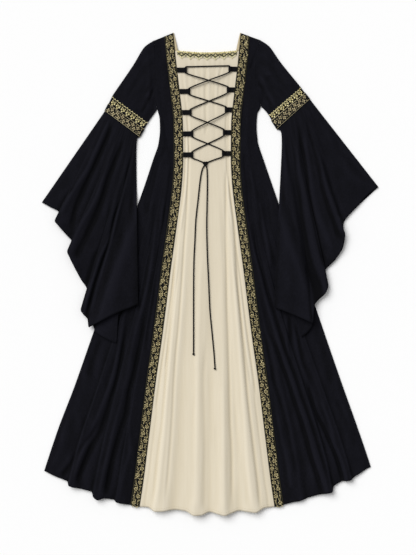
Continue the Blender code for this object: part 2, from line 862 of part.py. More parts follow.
# Lacing loops: height of each loop's middle and where its eye ends, from the top pair to the lowest
LOOPS = {
    "left": ((621, -61), (556, -51), (492, -47), (427, -42), (363, -42)),
    "right": ((624, 65), (561, 60), (500, 54), (431, 48), (367, 45)),
}
LOOP_WIDTH = 15.0
LOOP_FALL = ((3.2, 5.2), (9.5, 0.0))
LACE_DIAMETER = 4.0
CORD_REST = 0.55
EYE_EASE = 0.7
EYE_RADIUS = LACE_DIAMETER / 2 + EYE_EASE + TRIM_WALL / 2
KNOT_AT = (-5, 336)
KNOT_SIZE = (6.2, 4.6, 3.5)
KNOT_RISE = 1.6
TAIL_KNOT_SIZE = (3.6, 4.3, 3.3)
TAIL_KNOT_RISE = 1.4
TOP_RUN_Y = 631.0
TAIL_LEFT = ((-8, 331), (-15, 317), (-21, 284), (-27, 229), (-34, 165), (-37, 101), (-40, 37), (-41, -49),
             (-41, -134), (-41, -239))
TAIL_RIGHT = ((-2.6, 330.8), (0, 318), (1, 271), (0, 207), (-1, 143), (1, 58), (5, -27), (9, -113),
              (15, -177), (21, -241), (24, -283))


def loop_level(centre_tree, side, y, eye_x):
    start = SIGN[side] * (seam_x(y) - TRIM_HALF)
    spots = [(mix(start, eye_x, i / 4), y + dy) for i in range(5) for dy in (-7, 0, 7)]
    return max(surface_top(centre_tree, x, spot_y, 3) for x, spot_y in spots)


def build_loops(centre_tree):
    eyes = {"left": [], "right": []}
    for side in SIGN:
        inward = -SIGN[side]
        for number, (y, eye_x) in enumerate(LOOPS[side], start=1):
            level = loop_level(centre_tree, side, y, eye_x)
            low = level + GAP + TRIM_WALL / 2
            centre_z = low + EYE_RADIUS
            centre_x = eye_x - inward * (EYE_RADIUS + TRIM_WALL / 2)
            top_y = y + LOOP_WIDTH / 2
            start = SIGN[side] * (min(seam_x(top_y), seam_x(y - LOOP_WIDTH / 2)) - TRIM_HALF - GAP - 0.5)
            back = low + TRIM_WALL + GAP
            profile = [(start, low), (centre_x, low)]
            for angle in (-45, 0, 45, 90):
                turn = math.radians(angle)
                profile.append((centre_x + inward * EYE_RADIUS * math.cos(turn),
                                centre_z + EYE_RADIUS * math.sin(turn)))
            for away, over in LOOP_FALL:
                profile.append((centre_x - inward * away, back + over))
            profile.append((start, back))
            rows = [[Vector((x, y + dy, z)) for x, z in profile]
                    for dy in (LOOP_WIDTH / 2, -LOOP_WIDTH / 2)]
            add_sheet(f"lace_loop_{side}_{number}", rows, BLACK, TRIM_WALL, flip=side == "left")
            eyes[side].append(Vector((centre_x, y, centre_z)))
    return eyes


def build_lacing(centre_tree, eyes):
    out = LOOP_WIDTH / 2 + 1.5
    radius = LACE_DIAMETER / 2

    def rest(x, y, over=0.0):
        return Vector((x, y, surface_top(centre_tree, x, y, radius) + CORD_REST + radius + over))

    knot = rest(*KNOT_AT)
    order = [("left", 4), ("right", 3), ("left", 2), ("right", 1), ("left", 0)]
    half_up = [(side, row, 1) for side, row in order]
    half_down = [("right" if side == "left" else "left", row, -1) for side, row in reversed(order)]
    route = [knot + Vector((-7, 4, 0.4))]
    last = None
    for side, row, way in half_up + half_down:
        eye = eyes[side][row]
        enter = eye + Vector((0, -out * way, 0))
        leave = eye + Vector((0, out * way, 0))
        if last is not None:
            if last[0] != side and last[1] != row:
                over = LACE_DIAMETER + GAP + 0.5 if (way == 1) == (row % 2 == 0) else 0.0
                middle = (route[-1] + enter) / 2
                route.append(rest(middle.x, middle.y, over))
            else:
                for share in (0.12, 0.5, 0.88):
                    x = mix(eyes["left"][0].x, eyes["right"][0].x, share)
                    route.append(rest(x, TOP_RUN_Y + 3 * share))
        else:
            route.append(rest(*mix(route[0], enter, 0.5).to_2d()))
        route.extend([enter, eye, leave])
        last = (side, row)
    end = knot + Vector((7, 4, 0.4))
    route.append(rest(*mix(route[-1], end, 0.5).to_2d()))
    route.append(end)
    laced = smooth_route(route, 2)
    for spot in laced:
        spot.z = max(spot.z, rest(spot.x, spot.y).z)
    add_cord("lacing", laced, LACE_DIAMETER)
    add_knot("lacing_knot", knot + Vector((0, 0, KNOT_RISE)), KNOT_SIZE)
    for side, table in (("left", TAIL_LEFT), ("right", TAIL_RIGHT)):
        points = [rest(x, y) for x, y in table]
        dense = smooth_route(points, 3)
        dense = [rest(p.x, p.y) for p in dense]
        add_cord(f"tail_{side}", dense, LACE_DIAMETER)
        end = dense[-1] + Vector((0, -GAP - TAIL_KNOT_SIZE[1], TAIL_KNOT_RISE))
        add_knot(f"tail_knot_{side}", end, TAIL_KNOT_SIZE)


build_back()
centre_panel = build_fronts()
centre_surface = tree_of(centre_panel)
build_neck_lace(centre_surface)
build_sleeves()
loop_eyes = build_loops(centre_surface)
build_lacing(centre_surface, loop_eyes)
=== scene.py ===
"""Looks of the medieval style gown: it lies flat on its back on a white floor, seen from straight above."""
import math

import bmesh
import bpy
import numpy as np
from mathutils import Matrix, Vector
from mathutils.bvhtree import BVHTree


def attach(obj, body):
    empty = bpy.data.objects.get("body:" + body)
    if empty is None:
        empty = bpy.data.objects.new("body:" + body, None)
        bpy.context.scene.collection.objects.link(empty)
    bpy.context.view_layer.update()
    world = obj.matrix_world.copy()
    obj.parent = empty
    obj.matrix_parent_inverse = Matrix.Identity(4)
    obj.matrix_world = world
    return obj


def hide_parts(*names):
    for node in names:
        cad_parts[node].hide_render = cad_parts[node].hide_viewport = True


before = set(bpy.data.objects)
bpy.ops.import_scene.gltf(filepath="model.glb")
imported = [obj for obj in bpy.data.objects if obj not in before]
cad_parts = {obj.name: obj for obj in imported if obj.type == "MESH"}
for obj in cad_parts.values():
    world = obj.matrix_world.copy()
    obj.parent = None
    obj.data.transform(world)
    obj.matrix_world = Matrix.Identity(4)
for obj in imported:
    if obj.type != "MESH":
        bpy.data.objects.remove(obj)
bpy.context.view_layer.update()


# Camera, floor and light.
# The camera looks straight down, one photo pixel being 3.05 mm on the floor. A white sky fills in
# all round, and one wide soft light from the upper left gives the folds their shade evenly.
PIXEL = 0.00305
CAMERA_HEIGHT = 5.0
SKY_LIGHT = 0.40
LAMP_STRENGTH = 2.61
LAMP_SPREAD = 0.8
LAMP_FROM = (-0.62, 0.66, 1.0)
FLOOR_SIZE = 14.0
FLOOR_Z = -0.0005


def linear(code):
    """The linear colour of an sRGB hex code."""
    channels = [int(code[i:i + 2], 16) / 255 for i in (0, 2, 4)]
    return tuple(c / 12.92 if c <= 0.04045 else ((c + 0.055) / 1.055) ** 2.4 for c in channels) + (1.0,)


def add_node(tree, kind, inputs=None, **settings):
    """A node with its settings; inputs are socket names or numbers, with a value or a source socket."""
    node = tree.nodes.new(kind)
    for name, value in settings.items():
        setattr(node, name, value)
    for name, value in (inputs or {}).items():
        if isinstance(value, bpy.types.NodeSocket):
            tree.links.new(value, node.inputs[name])
        else:
            node.inputs[name].default_value = value
    return node


def start_finish(name, colour, roughness):
    """A new material with its shader's plain values set."""
    finish = bpy.data.materials.new(name)
    finish.use_nodes = True
    shader = finish.node_tree.nodes["Principled BSDF"]
    shader.inputs["Base Color"].default_value = linear(colour)
    shader.inputs["Roughness"].default_value = roughness
    return finish, finish.node_tree, shader


def set_studio():
    scene = bpy.context.scene
    lens = bpy.data.cameras.new("camera")
    lens.sensor_fit = "VERTICAL"
    lens.sensor_height = 36.0
    lens.lens = 36.0 * CAMERA_HEIGHT / (555 * PIXEL)
    camera = bpy.data.objects.new("camera", lens)
    camera.location = ((208 - 207) * PIXEL, (274 - 277.5) * PIXEL, CAMERA_HEIGHT)
    scene.collection.objects.link(camera)
    scene.camera = camera
    scene.view_settings.view_transform = "Standard"

    sky = bpy.data.worlds.new("white_sky")
    sky.use_nodes = True
    sky.node_tree.nodes["Background"].inputs["Color"].default_value = (1.0, 1.0, 1.0, 1.0)
    sky.node_tree.nodes["Background"].inputs["Strength"].default_value = SKY_LIGHT
    scene.world = sky

    lamp = bpy.data.lights.new("soft_light", "SUN")
    lamp.energy = LAMP_STRENGTH
    lamp.angle = LAMP_SPREAD
    holder = bpy.data.objects.new("soft_light", lamp)
    holder.location = Vector(LAMP_FROM) * 3
    holder.rotation_euler = (-Vector(LAMP_FROM)).to_track_quat("-Z", "Y").to_euler()
    scene.collection.objects.link(holder)

    half = FLOOR_SIZE / 2
    mesh = bpy.data.meshes.new("floor")
    mesh.from_pydata([(-half, -half, FLOOR_Z), (half, -half, FLOOR_Z),
                      (half, half, FLOOR_Z), (-half, half, FLOOR_Z)], [], [(0, 1, 2, 3)])
    floor = bpy.data.objects.new("floor", mesh)
    scene.collection.objects.link(floor)
    # Matt white paper
    paper, tree, shader = start_finish("white_paper", "FCFCFC", 0.9)
    spot = add_node(tree, "ShaderNodeTexCoord").outputs["Object"]
    grain = add_node(tree, "ShaderNodeTexNoise", {"Vector": spot, "Scale": 900.0})
    bump = add_node(tree, "ShaderNodeBump", {"Height": grain.outputs[0], "Strength": 0.05,
                                             "Distance": 0.0002})
    tree.links.new(bump.outputs[0], shader.inputs["Normal"])
    mesh.materials.append(paper)


set_studio()


# Back.
# One flat piece of the black cloth under everything, cut a little smaller than the fronts. The
# cloth is a thick soft cotton with a short brushed nap; its hem is turned and sewn.
THREAD = 1.4
BLACK_WALL = 1.2
BLACK_CLOTH = "08080B"
# The paler black: the nap's uneven tone, and painted light on the fold ridges.
BLACK_NAP_AND_RIDGE_LIGHT = "16161D"
MM = 0.001


def brushed_cotton():
    """Black brushed cotton: matt, with a faint navy cast, a short nap and a soft plain weave. It is
    painted paler on the fold ridges and darker in the troughs, by the attribute crest: painted light
    and shade. Real threads are about 0.4 mm apart; they are drawn 1.4 mm apart, so that they show."""
    finish, tree, shader = start_finish("black_brushed_cotton", BLACK_CLOTH, 0.94)
    shader.inputs["Specular IOR Level"].default_value = 0.08
    shader.inputs["Sheen Weight"].default_value = 0.015
    shader.inputs["Sheen Roughness"].default_value = 0.5
    shader.inputs["Sheen Tint"].default_value = linear("8088A0")
    spot = add_node(tree, "ShaderNodeUVMap", uv_map="UVMap").outputs["UV"]
    along = add_node(tree, "ShaderNodeMapping", {"Vector": spot, "Scale": (1.0, 0.3, 1.0)}).outputs[0]
    nap = add_node(tree, "ShaderNodeTexNoise", {"Vector": along, "Scale": 46.0, "Detail": 5.0,
                                                "Roughness": 0.6}).outputs[0]
    fibre = add_node(tree, "ShaderNodeTexNoise", {"Vector": along, "Scale": 420.0,
                                                  "Detail": 3.0}).outputs[0]
    both = add_node(tree, "ShaderNodeMath", {0: nap, 1: fibre}, operation="MULTIPLY").outputs[0]
    worn = add_node(tree, "ShaderNodeMapRange", {"Value": both, "From Min": 0.10, "From Max": 0.42,
                                                 "To Min": -0.3, "To Max": 0.3}).outputs[0]
    # Painted light and shade: the crest pales the fold ridges and darkens the troughs.
    crest = add_node(tree, "ShaderNodeAttribute", attribute_name="crest").outputs["Fac"]
    level = add_node(tree, "ShaderNodeMath", {0: worn, 1: crest}, operation="ADD", use_clamp=True).outputs[0]
    # Black to its paler shade, by the nap's own tone plus the painted light and shade.
    colour = add_node(tree, "ShaderNodeMix", {0: level, 6: linear(BLACK_CLOTH), 7: linear(BLACK_NAP_AND_RIDGE_LIGHT)},
                      data_type="RGBA").outputs[2]
    tree.links.new(colour, shader.inputs["Base Color"])
    rings = 2 * math.pi / (20 * THREAD * MM)
    warp = add_node(tree, "ShaderNodeTexWave", {"Vector": spot, "Scale": rings, "Distortion": 0.6},
                    bands_direction="X").outputs[1]
    weft = add_node(tree, "ShaderNodeTexWave", {"Vector": spot, "Scale": rings, "Distortion": 0.6},
                    bands_direction="Y").outputs[1]
    weave = add_node(tree, "ShaderNodeMath", {0: warp, 1: weft}, operation="MAXIMUM").outputs[0]
    height = add_node(tree, "ShaderNodeMath", {0: weave, 1: fibre}, operation="ADD").outputs[0]
    bump = add_node(tree, "ShaderNodeBump", {"Height": height, "Strength": 0.35, "Distance": 0.00012})
    tree.links.new(bump.outputs[0], shader.inputs["Normal"])
    return finish


black_cloth = brushed_cotton()


def add_piece(name, points, faces, finish, uvs=None, body="root"):
    """A piece from points in millimetres. uvs, in metres, has one pair for each corner of each face."""
    mesh = bpy.data.meshes.new(name)
    mesh.from_pydata((np.asarray(points, float) * MM).tolist(), [], [tuple(face) for face in faces])
    layer = mesh.uv_layers.new(name="UVMap")
    if uvs is None:
        corners = np.empty(len(mesh.loops), int)
        mesh.loops.foreach_get("vertex_index", corners)
        uvs = np.asarray(points, float)[corners, :2] * MM
    layer.data.foreach_set("uv", np.asarray(uvs, float).ravel())
    mesh.materials.append(finish)
    mesh.shade_smooth()
    mesh.validate()
    piece = bpy.data.objects.new(name, mesh)
    bpy.context.scene.collection.objects.link(piece)
    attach(piece, body)
    return piece


def give_wall(piece, wall):
    """Cloth thickness, half to each side of the piece's faces."""
    solid = piece.modifiers.new("wall", "SOLIDIFY")
    solid.thickness = wall * MM
    solid.offset = 0.0
    solid.use_even_offset = False


def stand_for(piece, slot, *nodes):
    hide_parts(*nodes)


def make_back():
    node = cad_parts["back_panel"]
    piece = bpy.data.objects.new("back", node.data.copy())
    bpy.context.scene.collection.objects.link(piece)
    whole = bmesh.new()
    whole.from_mesh(piece.data)
    bmesh.ops.remove_doubles(whole, verts=whole.verts[:], dist=0.00001)
    whole.to_mesh(piece.data)
    whole.free()
    piece.data.materials.clear()
    piece.data.materials.append(black_cloth)
    layer = piece.data.uv_layers.get("UVMap") or piece.data.uv_layers.new(name="UVMap")
    for corner in piece.data.loops:
        layer.data[corner.index].uv = piece.data.vertices[corner.vertex_index].co.xy
    # A fixed crest, a little below flat cloth's 0.5, so the back is painted a shade darker.
    crest = piece.data.attributes.new("crest", "FLOAT", "POINT")
    crest.data.foreach_set("value", [0.4] * len(piece.data.vertices))
    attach(piece, "root")
    stand_for(piece, "black_cloth", "back_panel")


make_back()


# Side fronts.
# The black cloth again, from shoulder and armhole to the hem. They flare from the waist, and their
# fullness falls in a few deep soft folds. The folds' places repeat the solid part's.
SEAM_LINE = (
    # y, distance of the trim's seam from the centre line
    (-709, 220), (-628, 208), (-476, 189), (-323, 170), (-198, 152), (-113, 141), (15, 125),
    (146, 107), (287, 90), (354, 87), (454, 88), (555, 98), (659, 110), (730, 116.5),
)
FRONT_ROWS = {
    "left": (
        # seam_y, edge_x, edge_y, crown, edge_lift
        (729.5, -161, 711.5, 0.0, 0.0), (680, -159, 659, 1.7, 1.5), (622, -157, 598, 2.0, 1.5),
        (572, -158, 549, 2.2, 1.5), (528, -151, 503, 2.2, 0.0), (491, -144, 472, 2.0, 0.0),
        (448, -143, 439, 2.0, 0.0), (403, -147.5, 398, 2.0, 0.0), (348, -164, 348, 1.8, 0.0),
        (281, -186, 281, 1.6, 0.0), (180, -218.5, 189, 1.6, 0.0), (43, -266, 55, 1.6, 0.0),
        (-110, -314.5, -88, 1.6, 0.0), (-247, -359.5, -217, 1.6, 0.0),
        (-384, -404.5, -345, 1.8, 0.0), (-522, -451.5, -467, 2.0, 0.0),
        (-628, -481, -554, 2.0, 0.0), (-709, -496, -600, 2.0, 0.0),
    ),
    "right": (
        (729.5, 159, 714, 0.0, 0.0), (680, 154, 668, 1.7, 1.5), (622, 152, 618, 2.0, 1.5),
        (572, 157, 563, 2.2, 1.5), (528, 163, 512, 2.2, 0.0), (491, 153, 488, 2.0, 0.0),
        (448, 150.5, 452, 2.0, 0.0), (403, 154, 406, 2.0, 0.0), (348, 172, 348, 1.8, 0.0),
        (281, 195, 281, 1.6, 0.0), (180, 227, 189, 1.6, 0.0), (43, 275, 55, 1.6, 0.0),
        (-110, 326, -88, 1.6, 0.0), (-247, 370, -217, 1.6, 0.0),
        (-384, 414.5, -345, 1.8, 0.0), (-522, 458, -467, 2.0, 0.0),
        (-628, 487.5, -553, 2.0, 0.0), (-709, 499, -588, 2.0, 0.0),
    ),
}
SIDE_FOLDS = {
    "left": (
        # place across at the waist and at the hem, rise at the hem, drop of the hem
        (0.00, 0.00, 2, 0), (0.05, 0.10, 8, 6), (0.09, 0.16, 10, 8), (0.12, 0.185, 3, 4),
        (0.22, 0.30, 7, 11), (0.29, 0.38, 14, 24), (0.33, 0.425, 12, 20), (0.36, 0.45, 3, 6),
        (0.44, 0.58, 6, 10), (0.50, 0.67, 13, 15), (0.54, 0.71, 12, 15), (0.58, 0.735, 2, 3),
        (0.78, 0.86, 3, 3), (0.95, 0.965, 1, 1), (1.00, 1.00, 0, 0),
    ),
    "right": (
        (0.00, 0.00, 2, 0), (0.02, 0.10, 4, 4), (0.06, 0.20, 8, 10), (0.12, 0.27, 3, 10),
        (0.17, 0.40, 6, 15), (0.22, 0.51, 13, 23), (0.27, 0.55, 14, 25), (0.31, 0.575, 4, 9),
        (0.46, 0.66, 3, 5), (0.52, 0.73, 10, 11), (0.57, 0.77, 12, 13), (0.61, 0.80, 4, 9),
        (0.80, 0.89, 3, 4), (0.95, 0.965, 1, 0), (1.00, 1.00, 0, 0),
    ),
}
SIDE_CREASES = {
    # half width, height (a ridge, or a trough if below 0) and the points that it runs through
    "left": (
        (8, 3.8, (-132, 222), (-139, 190), (-141, 130)), (7, 2.2, (-169, 225), (-170, 190), (-172, 150)),
        (9, 5.0, (-150, 190), (-163, 87), (-172, 13), (-187, -60), (-206, -139), (-227, -230),
         (-242, -310), (-258, -371), (-279, -456), (-294, -523), (-309, -596), (-330, -690)),
        (9, 4.6, (-240, -70), (-261, -188), (-273, -261), (-291, -334), (-316, -395), (-337, -450),
         (-361, -505), (-386, -566), (-418, -645)),
        (8, 2.6, (-228, -400), (-236, -462), (-234, -535), (-249, -590), (-272, -700)),
        (6, -4.5, (-160, 170), (-172, 74), (-184, 1), (-197, -66), (-206, -102), (-213, -130)),
        (8, -4.5, (-242, -139), (-258, -237), (-270, -304), (-291, -377), (-306, -432), (-322, -474),
         (-349, -523), (-382, -596), (-400, -650)),
        (8, -5.0, (-186, -120), (-200, -200), (-218, -291), (-236, -358), (-245, -420), (-261, -474),
         (-276, -523), (-294, -596), (-312, -690)),
        (8, -2.5, (-255, -350), (-276, -420), (-291, -474), (-306, -535), (-328, -600)),
        (8, -4.5, (-325, -440), (-355, -493), (-379, -523), (-413, -578), (-445, -620)),
        (12, -2.5, (-320, -190), (-346, -255), (-362, -320)),
        (9, -2.2, (-300, -290), (-309, -322), (-331, -371), (-352, -432), (-372, -470)),
        (6, -3.5, (-120, 250), (-139, 105), (-154, 13), (-163, -78), (-176, -151), (-188, -240)),
        (12, -2.4, (-150, 580), (-145, 563), (-135, 517), (-125, 471), (-122, 431), (-114, 390)),
        (10, 2.4, (-150, 480), (-141, 455), (-134, 415), (-133, 380)),
        (8, -3.6, (-120, 385), (-130, 370), (-150, 339), (-165, 288), (-178, 237), (-186, 180)),
        (9, 3.6, (-112, 350), (-119, 314), (-130, 237), (-135, 197), (-142, 150)),
        (16, 2.0, (-420, -420), (-445, -500), (-470, -590)),
    ),
    "right": (
        (6, 3.0, (112, 235), (118, 190), (124, 148), (131, 100)),
        (8, 5.0, (118, 190), (127, 135), (148, 50), (163, -5), (179, -78), (200, -151), (218, -206),
         (237, -261), (258, -322), (276, -383), (294, -432), (313, -493), (331, -560), (349, -615),
         (372, -680)),
        (7, 2.4, (262, -150), (276, -237), (294, -298), (312, -350)),
        (9, 4.4, (338, -370), (355, -407), (374, -462), (389, -523), (410, -572), (426, -640)),
        (7, 3.4, (155, 240), (163, 209), (176, 129), (188, 62), (192, 20)),
        (7, 2.4, (236, -110), (240, -139), (244, -212), (252, -270)),
        (7, 2.6, (205, -390), (215, -432), (230, -505), (246, -578), (258, -660)),
        (7, -5.0, (126, 250), (133, 209), (145, 135), (154, 68), (170, 7), (185, -54), (204, -110),
         (246, -249), (270, -310), (291, -377), (307, -420), (325, -474), (343, -535), (362, -590),
         (384, -660)),
        (8, -4.0, (152, 0), (163, -54), (176, -115), (188, -176), (206, -212), (227, -273), (246, -322),
         (264, -377), (285, -438), (301, -493), (319, -560), (337, -615), (350, -670)),
        (8, -3.4, (172, -160), (179, -194), (194, -273), (206, -334), (227, -401), (243, -462),
         (252, -505), (264, -566), (276, -630)),
        (6, -5.0, (300, -310), (310, -352), (319, -383), (331, -420), (355, -468), (371, -505),
         (392, -554), (420, -640)),
        (8, -3.0, (250, -120), (252, -163), (254, -237), (262, -280)),
        (7, -2.4, (268, -140), (273, -163), (285, -237), (300, -300)),
        (14, -2.2, (335, -170), (349, -212), (368, -291), (380, -340)),
        (11, -2.2, (390, -370), (404, -407), (429, -462), (450, -530)),
        (7, -3.0, (112, 90), (130, 0), (142, -66), (163, -151), (178, -230)),
        (9, -4.0, (112, 390), (117, 360), (122, 309), (130, 258), (131, 197), (134, 150)),
        (9, 3.2, (128, 330), (135, 290), (142, 248), (150, 197), (156, 150)),
        (7, -2.4, (176, 260), (181, 237), (184, 197), (190, 140)),
        (5, -3.2, (168, 715), (163, 700), (153, 675), (140, 644), (132, 620)),
        (9, 2.2, (118, 520), (122, 450), (118, 400), (122, 350)),
        (16, 2.0, (410, -400), (440, -490), (462, -570)),
    ),
}
SIGN = {"left": -1, "right": 1}
GAP = 0.3
HALF_GAP = GAP / 2
BACK_Z = BLACK_WALL / 2
SEAM_Z = BLACK_WALL + GAP + BLACK_WALL / 2
TRIM_HALF = 14.5
TRIM_LEDGE = 1.0
WAIST_Y = 300.0
HEM_Y = -709.0
FOLD_GROWTH = 1.15
SEAM_RISE = 2.0
SPREAD = 1.1
EDGE_START = 0.9
EDGE_SHARE = 0.4
ARMPIT_ROW = 4
NECK_ROW = 1
RIPPLE = 0.45


def smooth_line(keys, values):
    """A function that runs smoothly through a few values and never swings past them."""
    keys = np.array(keys, float)
    values = np.array(values, float)
    slopes = np.diff(values) / np.diff(keys)
    before, after = slopes[:-1], slopes[1:]
    total = np.where(before + after == 0, 1.0, before + after)
    inner = np.where(before * after > 0, 2 * before * after / total, 0.0)
    tangents = np.concatenate([slopes[:1], inner, slopes[-1:]])

    def at(key):
        key = np.clip(np.asarray(key, float), keys[0], keys[-1])
        i = np.clip(np.searchsorted(keys, key, side="right") - 1, 0, len(keys) - 2)
        span = keys[i + 1] - keys[i]
        t = (key - keys[i]) / span
        ends = values[i] * (1 + 2 * t) * (1 - t) ** 2 + values[i + 1] * t * t * (3 - 2 * t)
        return ends + (tangents[i] * t * (1 - t) ** 2 + tangents[i + 1] * t * t * (t - 1)) * span

    return at


def table_lines(table):
    """One smooth line for each column of a table, over the row number."""
    return [smooth_line(range(len(table)), column) for column in zip(*table)]


def smooth(value):
    value = np.clip(value, 0.0, 1.0)
    return value * value * (3 - 2 * value)


def mix(a, b, t):
    return a + (b - a) * t


seam_x = smooth_line([row[0] for row in SEAM_LINE], [row[1] for row in SEAM_LINE])
front_lines = {side: table_lines(rows) for side, rows in FRONT_ROWS.items()}


def growth(y):
    """How far the folds have opened, from 0 at the waist to 1 at the hem."""
    return np.clip((WAIST_Y - y) / (WAIST_Y - HEM_Y), 0.0, 1.2) ** FOLD_GROWTH


def seam_rows(side, steps, inset=0.0):
    """Points on the trim's seam, points on the panel's outer edge, and the directions between them."""
    steps = np.atleast_1d(np.asarray(steps, float))
    seam_y, edge_x, edge_y, crown, lift = (line(steps) for line in front_lines[side])
    seam = np.stack([SIGN[side] * seam_x(seam_y), seam_y, SEAM_Z + crown + SEAM_RISE * growth(seam_y)], 1)
    edge = np.stack([edge_x, edge_y, SEAM_Z + lift], 1)
    across = edge - seam
    across[:, 2] = 0
    across /= np.linalg.norm(across, axis=1)[:, None]
    return seam + across * inset, edge - across * inset, across


def fold_heights(plan, creases):
    """Height that the small folds add at plan points. They taper and fade out at both ends."""
    total = np.zeros(plan.shape[:-1])
    for width, height, *spots in creases:
        spots = np.array(spots, float)
        keys = np.concatenate([[0.0], np.cumsum(np.linalg.norm(np.diff(spots, axis=0), axis=1))])
        share = np.linspace(0, 1, 26)
        line = np.stack([smooth_line(keys, column)(share * keys[-1]) for column in spots.T], 1)
        near = np.full(plan.shape[:-1], np.inf)
        along = np.zeros(plan.shape[:-1])
        for i, (a, b) in enumerate(zip(line, line[1:])):
            run = b - a
            t = np.clip(((plan - a) @ run) / (run @ run), 0, 1)
            away = np.linalg.norm(plan - a - t[..., None] * run, axis=-1)
            closer = away < near
            near = np.where(closer, away, near)
            along = np.where(closer, (i + t) / (len(line) - 1), along)
        fade = smooth(along / 0.2) * smooth((1 - along) / 0.08)
        total += height * fade * np.exp(-(near / (width * mix(0.8, 1.1, along))) ** 2)
    return total


def crest_of(z, closed, reach=7):
    """How far the cloth stands above its own neighbourhood: about 0 in a trough and 1 on a ridge."""
    around = np.zeros_like(z)
    wide = np.pad(z, ((0, 0), (reach, reach)), mode="wrap" if closed else "edge")
    for k in range(2 * reach + 1):
        around += wide[:, k:k + z.shape[1]]
    return np.clip(0.5 + (z - around / (2 * reach + 1)) * 0.28, 0, 1)


def add_ripples(grid, seed, height, across=70.0, along=320.0, fade=None):
    """The cloth's own unevenness: low waves, longer down the piece than across it."""
    rng = np.random.default_rng(seed)
    waves = np.zeros(grid.shape[:-1])
    for _ in range(14):
        length = across * rng.uniform(0.6, 1.8)
        drift = along * rng.uniform(0.6, 1.8) * rng.choice([-1, 1])
        turn = rng.uniform(0, 2 * math.pi)
        waves += np.sin(2 * math.pi * (grid[..., 0] / length + grid[..., 1] / drift) + turn)
    waves *= height / math.sqrt(7)
    grid[..., 2] += waves if fade is None else waves * fade


def grid_faces(rows, count, closed):
    r, c = np.meshgrid(np.arange(rows - 1), np.arange(count if closed else count - 1), indexing="ij")
    a = r * count + c
    b = r * count + (c + 1) % count
    return np.stack([a, b, b + count, a + count], -1).reshape(-1, 4)


def add_cloth(name, grid, finish, wall, flip=False, closed=False):
    """A cloth piece on a grid of points, rows running down it. A closed one is a tube."""
    rows, count = grid.shape[:2]
    faces = grid_faces(rows, count, closed)
    uvs = None
    if closed:
        ring = np.concatenate([grid, grid[:, :1]], 1)
        u = np.cumsum(np.linalg.norm(np.diff(ring, axis=1), axis=2), axis=1)
        u = np.concatenate([np.zeros((rows, 1)), u], 1)
        u = u / u[:, -1:] * u[:, -1].mean()
        v = np.cumsum(np.linalg.norm(np.diff(grid, axis=0), axis=2).mean(1))
        v = np.repeat(np.concatenate([[0.0], v])[:, None], count + 1, 1)
        place = np.stack([u, -v], -1) * MM
        r, c = np.meshgrid(np.arange(rows - 1), np.arange(count), indexing="ij")
        corners = [place[r, c], place[r, c + 1], place[r + 1, c + 1], place[r + 1, c]]
        uvs = np.stack(corners, 2).reshape(-1, 4, 2)
    if not flip:
        faces = faces[:, ::-1]
        uvs = None if uvs is None else uvs[:, ::-1]
    piece = add_piece(name, grid.reshape(-1, 3), faces, finish,
                      None if uvs is None else uvs.reshape(-1, 2))
    # The crest drives painted light on the ridges and painted shade in the troughs of the cloth finishes.
    crest = piece.data.attributes.new("crest", "FLOAT", "POINT")
    crest.data.foreach_set("value", crest_of(grid[..., 2], closed).ravel())
    give_wall(piece, wall)
    return piece


def side_front_grid(side, rows=214, per_fold=12):
    steps = np.linspace(0, len(FRONT_ROWS[side]) - 1, rows)
    seam, edge, across = seam_rows(side, steps, HALF_GAP)
    trim_edge = seam + across * (TRIM_HALF + TRIM_LEDGE)
    open_now = growth(seam[:, 1])[:, None]
    folds = SIDE_FOLDS[side]
    keys = np.linspace(0, len(folds) - 1, (len(folds) - 1) * per_fold + 1)
    waist, hem, rise, drop = (line(keys)[None, :] for line in table_lines(folds))
    s = mix(waist, hem, smooth(open_now * SPREAD))
    spots = trim_edge[:, None, :] + (edge - trim_edge)[:, None, :] * s[..., None]
    fall = EDGE_SHARE * smooth((s - EDGE_START) / (1 - EDGE_START))
    base = mix(seam[:, 2:3] - SEAM_RISE * open_now, edge[:, 2:3], np.where(s >= 0.999, 1.0, fall))
    spots[..., 2] = base + rise * open_now
    spots[..., 1] -= drop * open_now ** 3
    grid = np.concatenate([seam[:, None, :], spots], 1)
    flat = grid[..., 2].copy()
    grid[..., 2] += fold_heights(grid[..., :2], SIDE_CREASES[side])
    add_ripples(grid, 11 if side == "left" else 12, RIPPLE * 1.5)
    calm = smooth(s * 16) * smooth((1 - s) * 12)
    calm = np.concatenate([np.zeros((rows, 1)), calm], 1)
    grid[..., 2] = mix(flat, grid[..., 2], calm)
    grid[..., 2] = np.maximum(grid[..., 2], SEAM_Z)
    return grid


def make_side_fronts():
    for side in SIGN:
        piece = add_cloth(f"side_front_{side}", side_front_grid(side), black_cloth, BLACK_WALL,
                          flip=side == "right")
        stand_for(piece, "black_cloth", f"side_panel_{side}")


make_side_fronts()


